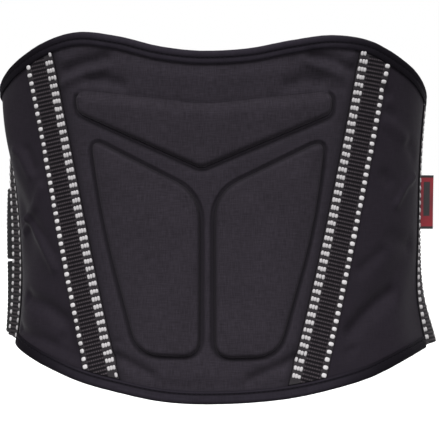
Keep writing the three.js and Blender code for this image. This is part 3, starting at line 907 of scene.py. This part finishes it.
def tape_marks(name, path, low, high, v, columns, mark):
    """Marks in columns along a tape, each column with its place across and half size."""
    rng = np.random.default_rng(RANDOM_SEED)
    spots = []
    for across, size in columns:
        start = np.interp(across, v, low) + MARK_ENDS["low"] - MARKS["start"]
        end = np.interp(across, v, high) - MARK_ENDS["high"]
        first = math.ceil(start / MARKS["pitch"]) * MARKS["pitch"] + MARKS["start"]
        for u in np.arange(first, end, MARKS["pitch"]):
            shift = rng.normal(0, MARK_NOISE["shift"], 2)
            grow = rng.normal(1, MARK_NOISE["size"], 2)
            spots.append((u + shift[0], across + shift[1], size[0] * grow[0], size[1] * grow[1]))
    u, across, half_u, half_v = np.array(spots).T
    level = TAPE_FOOT + TAPE["thick"] - MARKS["sunk"]
    step = 0.5
    beside = lambda du, dv: on_belt(*path.at(u + du, across + dv), level)
    centre = beside(0, 0)
    along = unit(beside(step, 0) - centre)
    sideways = unit(beside(0, step) - centre)
    piece = beads(name, centre, along, sideways, (half_u, half_v, MARKS["rise"]), mark)
    return settle(piece, "tape")


def bead_form():
    """Points of one low closed dome in its own axes, with its quads and triangles."""
    sides = BEAD["sides"]
    here = np.arange(sides)
    following = np.roll(here, -1)
    turn = here * 2 * np.pi / sides
    squared = lambda wave: np.sign(wave) * np.abs(wave) ** BEAD["square"]
    footprint = np.stack([squared(np.cos(turn)), squared(np.sin(turn))], -1)
    heights = np.radians(BEAD["rings"])
    rings = [np.column_stack([np.cos(a) ** BEAD["fill"] * footprint, np.sin(a) + 0 * turn]) for a in heights]
    points = np.vstack([*rings, (0, 0, 1), (0, 0, 0)])
    top = len(heights) * sides
    last = top - sides
    below = sides * np.arange(len(heights) - 1)[:, None]
    corners = [here + below, following + below, following + below + sides, here + below + sides]
    quads = np.stack(corners, -1).reshape(-1, 4)
    upper = np.stack([here + last, following + last, 0 * here + top], -1)
    lower = np.stack([following, here, 0 * here + top + 1], -1)
    return points, quads, np.concatenate([upper, lower])


def beads(name, centre, along, sideways, sizes, material):
    """Many low closed domes as one mesh: stitches and woven marks. sizes are each dome's half length, half
    width and rise in mm."""
    form, quads, triangles = bead_form()
    out = unit(np.cross(sideways, along))
    out = np.where((out * sign_out(centre)).sum(-1, keepdims=True) < 0, -out, out)
    points = centre[:, None]
    for i, (size, axis) in enumerate(zip(sizes, (along, sideways, out))):
        reach = np.broadcast_to(size, len(centre))[:, None, None] * MM
        points = points + form[None, :, i:i + 1] * reach * axis[:, None]
    flipped = ((np.cross(along, sideways) * out).sum(-1) < 0)[:, None, None]
    starts = (np.arange(len(centre)) * len(form))[:, None, None]
    faces = []
    for block in (quads, triangles):
        copies = np.where(flipped, block[None, :, ::-1], block[None]) + starts
        faces.append(copies.reshape(-1, block.shape[1]))
    cloth = np.tile(form[:, :2] * BEAD["cloth"], (len(centre), 1))
    return make_object(name, points.reshape(-1, 3), faces, cloth, [material])


def sign_out(centre):
    """Rough outward direction of the belt at each point."""
    return centre * np.array([1, 1, 0])


# Bindings

def binding(name, bound_edge, up, end, seam, cloth, thread):
    """Cloth folded over an edge and sunk along its seam, which lies a little in from its ends."""
    form = BINDING_FORM
    s = np.linspace(-end, end, int(2 * end / form["step"]))
    normal = unit(np.stack([-slope_at(bound_edge, s), 0 * s + 1], -1)) * up
    beyond_edge = lambda reach: (s + normal[:, 0] * reach, bound_edge(s) + normal[:, 1] * reach)
    pucker = form["pucker"] * puckers(s, RANDOM_SEED + (1 if up > 0 else 2))
    # Painted shade that darkens the binding more and more towards the belt's sides
    side_shade = smoothstep(np.abs(s), SIDE_SHADE["from"], SIDE_SHADE["full"])
    middle = PANEL["edge"] / 2
    outer, inner, cloth_at, painted_shade = [], [], [], []
    for row, (across, turn) in enumerate(binding_profile(seam)):
        from_end = across + BINDING["leg"]
        on_leg = abs(math.sin(turn)) < 1e-6
        thin_end = on_leg * form["end_thin"] * (1 - smoothstep(from_end, 0, form["end"]))
        dip = on_leg * soft_line(from_end, seam, form["seam_half"])
        swelling = pucker * (1 if on_leg else form["fold_pucker"])
        outer_radius = BINDING_RADIUS + BINDING["thick"] - thin_end - form["outer_dip"] * dip + swelling
        inner_radius = BINDING_RADIUS - form["inner_dip"] * (thin_end + dip)
        for store, radius in ((outer, outer_radius), (inner, inner_radius)):
            place = beyond_edge(across + radius * math.sin(turn))
            store.append(on_belt(*place, middle + radius * math.cos(turn)))
        cloth_at.append(np.stack([s, 0 * s + row], -1))
        # Painted shade along the seam, at the thin ends and towards the sides
        painted_shade.append(np.maximum(side_shade, max(dip, thin_end)))
    order = slice(None) if up > 0 else slice(None, None, -1)
    stack = lambda rows: np.stack(rows, 1)[:, order]
    piece = make_grid_shell(name + "_cloth", stack(outer), stack(inner), stack(cloth_at), [cloth])
    mark_painted_shade(piece, stack(painted_shade).ravel())
    settle(piece, "binding", name)
    line = np.stack(beyond_edge(seam - BINDING["leg"]), -1)
    lift = BINDING_RADIUS + form["thread"]
    levels = {"outer": middle + lift, "inner": middle - lift}
    rows = [stitch_row(f"{name}_{word}_stitches", line, levels[word], "binding", thread) for word in levels]
    length = run_along(np.stack([s, bound_edge(s)], -1))[-1]
    return cloth_sheet(piece)


def binding_profile(seam):
    """Way across a binding from one end round its fold to the other: distance out from the edge, and turn."""
    form = BINDING_FORM
    at_seam = seam + np.linspace(-form["seam_reach"], form["seam_reach"], form["seam_rows"])
    front = [(inset - BINDING["leg"], 0.0) for inset in np.sort([*form["end_rows"], *at_seam])]
    fold = [(FOLD_MIDDLE, turn) for turn in np.linspace(0, np.pi, form["fold_rows"])]
    return front + fold + [(across, np.pi) for across, _ in front[::-1]]


def puckers(s, seed):
    """Uneven small waves along a seam, from -1 to 1."""
    rng = np.random.default_rng(seed)
    shortest = 5
    longest = 14
    count = 5
    waves = [(rng.uniform(shortest, longest), rng.uniform(0, 2 * np.pi)) for _ in range(count)]
    return sum(np.sin(2 * np.pi * s / length + phase) for length, phase in waves) / count


def stitch_row(name, line, level, slot, thread):
    """Stitches along a line of places, at a distance out from the inner face."""
    run = run_along(line)
    step = STITCH["step"]
    at = np.arange(step / 2, run[-1] - step / 2, step)
    ahead = at + STITCH["ahead"]
    here = places_at(at, run, line)
    next_place = places_at(ahead, run, line)
    levels = np.broadcast_to(level, len(line))
    level_here = np.interp(at, run, levels)
    centre = on_belt(*here.T, level_here)
    along = unit(on_belt(*next_place.T, np.interp(ahead, run, levels)) - centre)
    sideways = unit(on_belt(*(here + quarter_turn(next_place - here)).T, level_here) - centre)
    sizes = (STITCH["half_length"], STITCH["half_width"], STITCH["rise"])
    return settle(beads(name, centre, along, sideways, sizes, thread), slot)


# Straps and front closure

def front_of(side):
    return LEFT["length"] if side < 0 else RIGHT["length"]


def strap(side, level, word, cloth):
    """A ribbed elastic strap from the side seam to the front tab."""
    root = PANEL["seam"] + GAP
    end = front_of(side) - TAB["back"] + TAB_SEWN
    far = np.linspace(root, end, STRAP_FORM["columns"])
    share = np.linspace(0, 1, STRAP_FORM["ribs"] * STRAP_FORM["rib_rows"] + 1)
    s, share = np.meshgrid(far if side > 0 else -far[::-1], share, indexing="ij")
    z = STRAP_BOTTOMS[level] + STRAP["width"] * share
    rib = np.abs(np.sin(np.pi * STRAP_FORM["ribs"] * share)) ** STRAP_FORM["fullness"]
    full = smoothstep(np.minimum(share, 1 - share), 0, STRAP_FORM["edge_share"])
    drawn_in = STRAP_FORM["rib_rise"] * (1 - rib * full) + STRAP_FORM["edge_thin"] * (1 - full)
    name = f"{level}_strap_{word}"
    outer = STRAP["inner"] + STRAP["thick"] - drawn_in
    piece = belt_grid(name + "_elastic", s, z, outer, STRAP["inner"] + drawn_in, [cloth])
    settle(piece, "elastic", name)
    return cloth_sheet(piece)


def tab_place(side, share_s, share_z):
    start = front_of(side) - TAB["back"]
    end = front_of(side) + TAB["forward"]
    far = mix(start, end, share_s)
    corner = np.maximum(0, TAB_CORNER - (end - far))
    cut = TAB_CORNER - np.sqrt(np.maximum(TAB_CORNER**2 - corner**2, 0))
    z = mix(TAB["bottom"] + cut, TAB["top"] - cut, share_z)
    return side * far, z


def tab_foot(side, far):
    start = front_of(side) - TAB["back"]
    rise = 0 * far if side < 0 else smoothstep(far - start - TAB_SEWN, 0, TAB_RAMP - TAB_SEWN)
    return mix(TAB["inner"], OVER_PATCH, rise)


def front_tab(side, word, cloth, pile, thread):
    """A tab of the front closure, with rounded edges and a seam all round."""
    ease = lambda count: (1 - np.cos(np.linspace(0, np.pi, count))) / 2
    share_s, share_z = np.meshgrid(*(ease(count) for count in TAB_GRID), indexing="ij")
    if side < 0:
        share_s = share_s[::-1]
    s, z = tab_place(side, share_s, share_z)
    foot = tab_foot(side, np.abs(s))
    to_edge = np.minimum(share_z, 1 - share_z) * TAB_HEIGHT
    to_end = np.minimum(share_s, 1 - share_s) * TAB_LENGTH
    edge_gap = np.minimum(to_edge, to_end)
    round_off = TAB_EDGE["round"] * (1 - smoothstep(edge_gap, 0, TAB_EDGE["width"]))
    seam_dip = TAB_EDGE["dip"] * soft_line(edge_gap, TAB_EDGE["seam"], TAB_EDGE["dip_half"])
    outer = foot + TAB["thick"] - round_off - seam_dip
    inner = foot + TAB_EDGE["inner_share"] * round_off
    faces = [pile, cloth] if side < 0 else [cloth, pile]
    piece = belt_grid(f"front_tab_{word}_cloth", s, z, outer, inner, faces)
    settle(piece, "closure", f"front_tab_{word}")
    rows = tab_stitches(side, word, thread)
    return cloth_sheet(piece)


def tab_stitches(side, word, thread):
    """A row of stitches along each edge of the tab, and one more over the strap ends."""
    count = 120
    t = np.linspace(0, 1, count)
    inset_s = TAB_EDGE["seam"] / TAB_LENGTH
    inset_z = TAB_EDGE["seam"] / TAB_HEIGHT
    second_s = (TAB_SEWN - TAB_EDGE["second_seam"]) / TAB_LENGTH
    along = mix(inset_s, 1 - inset_s, t)
    up = mix(inset_z, 1 - inset_z, t)
    runs = {
        "bottom": (along, inset_z + 0 * t),
        "top": (along, 1 - inset_z + 0 * t),
        "end": (1 - inset_s + 0 * t, up),
        "sewn": (inset_s + 0 * t, up),
        "box": (second_s + 0 * t, up),
    }
    rows = []
    for run, (share_s, share_z) in runs.items():
        s, z = tab_place(side, share_s, share_z)
        level = tab_foot(side, np.abs(s)) + TAB["thick"] - TAB_EDGE["thread"]
        row_name = f"front_tab_{word}_{run}_stitches"
        rows.append(stitch_row(row_name, np.stack([s, z], -1), level, "closure", thread))
    return rows


def hook_patch(hooks):
    """A patch of hook tape between the two tabs, with rows of small bristles."""
    counts = PATCH["grid"]
    share_s, share_z = np.meshgrid(*(np.linspace(0, 1, count) for count in counts), indexing="ij")
    s = RIGHT["length"] + PATCH["length"] * (share_s - 0.5)
    z = mix(TAB["bottom"] + PATCH["margin"], TAB["top"] - PATCH["margin"], share_z)
    rows_s, rows_z = (np.sin(share * (n - 1) * np.pi / 2) for share, n in zip((share_s, share_z), counts))
    outer = PATCH_FOOT + PATCH["thick"] - PATCH["hooks"] * (1 - (rows_s * rows_z) ** 2)
    piece = belt_grid("hook_patch_tape", s, z, outer, PATCH_FOOT, [hooks])
    settle(piece, "closure", "hook_patch")
    return cloth_sheet(piece)


# Label

def label(cloth):
    """A strip of woven cloth folded to a loop, with its two ends in the side seam."""
    lift = math.radians(LABEL["lift"])
    root = SIDE_TAPE["outer"] + GAP + LABEL["thick"] * math.sin(lift)
    radius = LABEL["thick"] / 2
    leg = LABEL["length"] - radius
    along_way = direction(root, math.pi / 2 - lift)
    across_way = direction(root, -lift)
    t = np.linspace(0, 1, LABEL_GRID["up"])
    base = on_belt(root, LABEL["middle"] + LABEL["height"] * (t - 0.5), TAPE_FOOT)
    straight = np.linspace(0, leg, LABEL_GRID["leg"])
    turn = np.linspace(0, np.pi, LABEL_GRID["fold"])[1:-1]
    path = [(a, 1.0, 0.0, a) for a in straight]
    path += [(leg, math.cos(a), math.sin(a), leg + radius * a) for a in turn]
    path += [(a, -1.0, 0.0, 2 * LABEL_RUN - a) for a in straight[::-1]]
    outer, inner, places = [], [], []
    for along, across, ahead, run in path:
        sag = LABEL["sag"] * np.sin(np.pi * t)[:, None] * (along / LABEL["length"]) ** 2
        for store, reach in ((outer, radius), (inner, radius - LABEL["cloth"])):
            place = base + along_way * (along + reach * ahead) * MM
            store.append(place + across_way * (radius + reach * across + sag) * MM)
        places.append(np.stack([np.full(len(t), run), LABEL["height"] * t], -1))
    outer, inner, places = (np.stack(rows, 1)[:, ::-1] for rows in (outer, inner, places))
    piece = make_grid_shell("label_cloth", outer, inner, places, [cloth])
    settle(piece, "label", "label")
    return cloth_sheet(piece)


# Materials

def tree_of(name):
    material = bpy.data.materials.new(name)
    material.use_nodes = True
    nodes = material.node_tree.nodes
    return material, material.node_tree, nodes["Principled BSDF"]


def add_node(tree, kind, settings=None, inputs=None):
    made = tree.nodes.new(kind)
    for key, value in (settings or {}).items():
        setattr(made, key, value)
    for key, value in (inputs or {}).items():
        made.inputs[key].default_value = value
    return made


def cloth_place(tree):
    return add_node(tree, "ShaderNodeUVMap", {"uv_map": "cloth"}).outputs["UV"]


def stretched(tree, place, scale):
    mapping = add_node(tree, "ShaderNodeMapping", inputs={"Scale": scale})
    tree.links.new(place, mapping.inputs["Vector"])
    return mapping.outputs["Vector"]


def noise(tree, place, scale, detail=2.0):
    roughness = 0.6
    inputs = {"Scale": scale, "Detail": detail, "Roughness": roughness}
    made = add_node(tree, "ShaderNodeTexNoise", inputs=inputs)
    tree.links.new(place, made.inputs["Vector"])
    return made.outputs["Fac"]


def bands(tree, place, axis, pitch):
    """Waves of a given pitch along one axis of the cloth."""
    settings = {"wave_type": "BANDS", "bands_direction": axis}
    inputs = {"Scale": math.pi / (10 * pitch), "Detail": 1.0}
    made = add_node(tree, "ShaderNodeTexWave", settings, inputs)
    tree.links.new(place, made.inputs["Vector"])
    return made.outputs["Fac"]


def math_node(tree, operation, first, second):
    made = add_node(tree, "ShaderNodeMath", {"operation": operation})
    for socket, value in zip(made.inputs, (first, second)):
        if isinstance(value, (int, float)):
            socket.default_value = value
        else:
            tree.links.new(value, socket)
    return made.outputs["Value"]


def ramp(tree, factor, stops):
    made = add_node(tree, "ShaderNodeValToRGB")
    elements = made.color_ramp.elements
    while len(elements) < len(stops):
        elements.new(0.5)
    for element, (position, colour) in zip(elements, stops):
        element.position = position
        element.color = (*colour, 1)
    tree.links.new(factor, made.inputs["Fac"])
    return made.outputs["Color"]


def bump(tree, height, strength, distance):
    made = add_node(tree, "ShaderNodeBump", inputs={"Strength": strength, "Distance": distance * MM})
    tree.links.new(height, made.inputs["Height"])
    return made.outputs["Normal"]


def shades(colour, spread):
    return [tuple(channel * share for channel in colour) for share in (1 - spread, 1 + spread)]


def times(tree, first, second):
    return math_node(tree, "MULTIPLY", first, second)


def plus(tree, first, second):
    return math_node(tree, "ADD", first, second)


def axes_of(tree, place):
    """The two coordinates of a place on the cloth."""
    split = add_node(tree, "ShaderNodeSeparateXYZ")
    tree.links.new(place, split.inputs["Vector"])
    return split.outputs["X"], split.outputs["Y"]


def stripe(low, high, soft):
    """Stops of a ramp that is on between two shares."""
    return [(low - soft, OFF), (low, ON), (high, ON), (high + soft, OFF)]


def blended(tree, factor, first, second):
    """From one colour to another by a factor. Each colour is a socket or three numbers."""
    made = add_node(tree, "ShaderNodeMix", {"data_type": "RGBA"})
    colour_inputs = [socket for socket in made.inputs if socket.type == "RGBA"]
    for socket, colour in zip(colour_inputs, (first, second)):
        if isinstance(colour, tuple):
            socket.default_value = (*colour, 1)
        else:
            tree.links.new(colour, socket)
    tree.links.new(factor, made.inputs["Factor"])
    return [socket for socket in made.outputs if socket.type == "RGBA"][0]


def yarn_colour(tree, place, colour, spread):
    """Uneven yarn in both directions and a broad cast, round a colour. Gives the tint and the yarn."""
    along_yarn = 0.12
    across_yarn = 1.6
    broad_scale = 0.035
    broad_share = 0.4
    yarn_up = noise(tree, stretched(tree, place, (across_yarn, along_yarn, 1)), 1.0)
    yarn_along = noise(tree, stretched(tree, place, (along_yarn, across_yarn, 1)), 1.0)
    broad = times(tree, noise(tree, place, broad_scale, 3.0), broad_share)
    mottle = plus(tree, plus(tree, yarn_up, yarn_along), broad)
    dark, light = shades(colour, spread)
    tint = ramp(tree, math_node(tree, "DIVIDE", mottle, 2 + broad_share), [(0.36, dark), (0.64, light)])
    return tint, yarn_up


def dress(tree, shader, colour, normal, roughness, specular, sheen=0.0):
    """Wires a colour and a normal to a shader, and sets its gloss and sheen."""
    tree.links.new(colour, shader.inputs["Base Color"])
    tree.links.new(normal, shader.inputs["Normal"])
    levels = {
        "Roughness": roughness, "Specular IOR Level": specular,
        "Sheen Weight": sheen, "Sheen Roughness": SHEEN_ROUGHNESS,
    }
    for name, level in levels.items():
        shader.inputs[name].default_value = level


def woven(
    name, colour, pitch=0.8, relief=0.12, roughness=0.8, specular=0.08, sheen=0.03, spread=0.2,
    painted_shade_strength=0.0,
):
    """Cloth of fine crossing threads: uneven yarn colour, a woven relief and a soft sheen. Where the mesh
    asks for painted shade it turns darker, by the strength given."""
    material, tree, shader = tree_of(name)
    place = cloth_place(tree)
    tint, yarn = yarn_colour(tree, place, colour, spread)
    if painted_shade_strength:
        painted_shade = add_node(tree, "ShaderNodeAttribute", {"attribute_name": "painted_shade"}).outputs["Fac"]
        tint = blended(tree, painted_shade, tint, tuple(channel * (1 - painted_shade_strength) for channel in colour))
    yarn_share = 0.6
    threads = times(tree, bands(tree, place, "X", pitch), bands(tree, place, "Y", pitch))
    height = plus(tree, threads, times(tree, yarn, yarn_share))
    dress(tree, shader, tint, bump(tree, height, 0.6, relief), roughness, specular, sheen)
    return material


def ribbed(name, ground, rib, mark_yarn):
    """Tape whose ribs get a painted highlight on their crests, grey yarn between its marks and dark edges."""
    material, tree, shader = tree_of(name)
    place = cloth_place(tree)
    across, along = axes_of(tree, place)
    tint, yarn = yarn_colour(tree, place, ground, 0.25)
    soft = 0.02
    share_of = lambda at: at / TAPE["width"] + 0.5
    share = plus(tree, math_node(tree, "DIVIDE", across, TAPE["width"]), 0.5)
    columns = [stop for column in MARK_COLUMNS for stop in stripe(*map(share_of, column), soft)]
    tint = blended(tree, ramp(tree, share, columns), tint, mark_yarn)
    band = ramp(tree, share, stripe(share_of(RIB["from"]), share_of(RIB["to"]), soft))
    between_warp = (0.15, 0.15, 0.15)
    warp = ramp(tree, bands(tree, place, "X", RIB["column"]), [(0.15, between_warp), (0.6, ON)])
    # Painted highlight: the ribs turn paler towards their crests
    half_pitch = RIB["pitch"] / 2
    crest = math_node(tree, "DIVIDE", math_node(tree, "PINGPONG", along, half_pitch), half_pitch)
    crest_highlight = ramp(tree, crest, [(0.4, OFF), (0.9, ON)])
    uneven = times(tree, yarn, 1.6)
    factor = times(tree, times(tree, times(tree, band, crest_highlight), uneven), warp)
    dress(tree, shader, blended(tree, factor, tint, rib), bump(tree, yarn, 0.5, 0.1), 0.75, 0.07, 0.01)
    return material


def pile_cloth(name, colour, scale, relief):
    """Brushed loops: a deep uneven nap."""
    material, tree, shader = tree_of(name)
    nap = noise(tree, cloth_place(tree), scale, 6.0)
    dark, light = shades(colour, 0.4)
    tint = ramp(tree, nap, [(0.35, dark), (0.65, light)])
    dress(tree, shader, tint, bump(tree, nap, 0.9, relief), 0.95, 0.12, 0.15)
    return material


def thread_material(name, colour, spread, roughness, specular):
    """Twisted yarn: fine slanting turns over an uneven colour."""
    material, tree, shader = tree_of(name)
    place = cloth_place(tree)
    turns = bands(tree, place, "DIAGONAL", 0.55)
    fibre = noise(tree, stretched(tree, place, (2.5, 0.5, 1)), 1.6)
    dark, light = shades(colour, spread)
    tint = ramp(tree, fibre, [(0.3, dark), (0.7, light)])
    dress(tree, shader, tint, bump(tree, turns, 0.4, 0.12), roughness, specular)
    return material


def label_material(name):
    """Red woven label with narrow black ends and a black field, left bare, along its middle."""
    material, tree, shader = tree_of(name)
    place = cloth_place(tree)
    run, height = axes_of(tree, place)
    red, deep, black, pale_black = LABEL_COLOURS.values()
    up = math_node(tree, "DIVIDE", height, LABEL["height"])
    across = math_node(tree, "DIVIDE", math_node(tree, "PINGPONG", run, LABEL_RUN), LABEL_RUN)
    stops = [(0, black), (0.04, black), (0.06, red), (0.5, deep), (0.94, red), (0.965, black)]
    field_up = ramp(tree, up, stripe(*LABEL_FIELD["up"], 0.015))
    field_across = ramp(tree, across, stripe(*LABEL_FIELD["across"], 0.01))
    weave = noise(tree, stretched(tree, place, (3, 0.6, 1)), 1.2)
    bare = ramp(tree, weave, [(0.3, black), (0.7, pale_black)])
    tint = blended(tree, times(tree, field_up, field_across), ramp(tree, up, stops), bare)
    threads = plus(tree, bands(tree, place, "X", 0.5), bands(tree, place, "Y", 0.35))
    dress(tree, shader, tint, bump(tree, threads, 0.5, 0.1), 0.55, 0.4)
    return material


# Room, light and camera

def floor():
    """A plain pale floor that throws no light back up at the belt."""
    corners = ((-1, -1), (1, -1), (1, 1), (-1, 1))
    points = np.array([(x * FLOOR["half_size"], y * FLOOR["half_size"], FLOOR["level"]) for x, y in corners])
    material, _, shader = tree_of("pale_floor")
    shader.inputs["Base Color"].default_value = FLOOR["colour"]
    shader.inputs["Roughness"].default_value = 1
    made = make_object("floor", points, [np.array([[0, 1, 2, 3]])], points[:, :2], [material])
    made.visible_diffuse = False


def light():
    """A white room that gives part of its brightness as light, and soft lights from both sides, from below,
    from above and from the far side."""
    world = bpy.data.worlds.new("studio")
    bpy.context.scene.world = world
    world.use_nodes = True
    tree = world.node_tree
    background = tree.nodes["Background"]
    background.inputs["Color"].default_value = (1, 1, 1, 1)
    seen = add_node(tree, "ShaderNodeLightPath").outputs["Is Camera Ray"]
    strength = add_node(tree, "ShaderNodeMapRange", inputs={"To Min": ROOM_LIGHT, "To Max": 1.0})
    tree.links.new(seen, strength.inputs["Value"])
    tree.links.new(strength.outputs["Result"], background.inputs["Strength"])
    for name, box in SOFTBOXES.items():
        data = bpy.data.lights.new(name, "SUN")
        data.energy = box["energy"]
        data.angle = math.radians(box["angle"])
        softbox = bpy.data.objects.new(name, data)
        softbox.rotation_euler = (-Vector(box["from"])).to_track_quat("-Z", "Y").to_euler()
        bpy.context.scene.collection.objects.link(softbox)
    bpy.context.scene.view_settings.view_transform = "Standard"


def camera():
    data = bpy.data.cameras.new("camera")
    data.lens = CAMERA["lens"]
    data.sensor_width = CAMERA["sensor"]
    data.clip_start = CAMERA["near"]
    made = bpy.data.objects.new("camera", data)
    made.location = CAMERA["at"]
    made.rotation_euler = (math.pi / 2, 0, 0)
    bpy.context.scene.collection.objects.link(made)
    bpy.context.scene.camera = made


# The belt

def build():
    cloth = {name: woven(name, **look) for name, look in WEAVES.items()}
    cloth["tape_cloth"] = ribbed("tape_cloth", **TAPE_COLOURS)
    pile = {name: pile_cloth(name, **look) for name, look in PILES.items()}
    thread = {name: thread_material(name, **look) for name, look in THREADS.items()}
    marks = {"dots": thread["white_dot"], "dashes": thread["white_dash"]}
    black = thread["black_thread"]

    back_panel(cloth["panel_cloth"], cloth["lining"])
    for name in OUTLINES:
        pad(name, cloth["pad_cloth"])
    edging = (cloth["binding_cloth"], black)
    binding("top_binding", top_edge, 1, PANEL["seam"], BINDING_SEAMS["top"], *edging)
    bottom_end = SIDE_TAPE["inner"] - 2 * GAP
    binding("bottom_binding", bottom_edge, -1, bottom_end, BINDING_SEAMS["bottom"], *edging)
    for side, word in ((-1, "left"), (1, "right")):
        side_panel(side, word, cloth["side_cloth"], cloth["lining"])
        seam = ("back_panel", f"side_panel_{word}")
        woven_tape = (cloth["tape_cloth"], marks)
        leaning = TapePath(leaning_centre(side))
        tape(f"tape_{word}", leaning, above_binding, below_binding, side, seam, *woven_tape)
        upright = TapePath(upright_centre(side))
        tape(f"side_tape_{word}", upright, panel_bottom, below_binding, side, seam[1:], *woven_tape)
        for level in STRAP_BOTTOMS:
            strap(side, level, word, cloth["elastic"])
        front_tab(side, word, cloth["tab_cloth"], pile["loop_pile"], black)
    hook_patch(pile["hook_tape"])
    label(label_material("label_weave"))


build()
floor()
light()
camera()
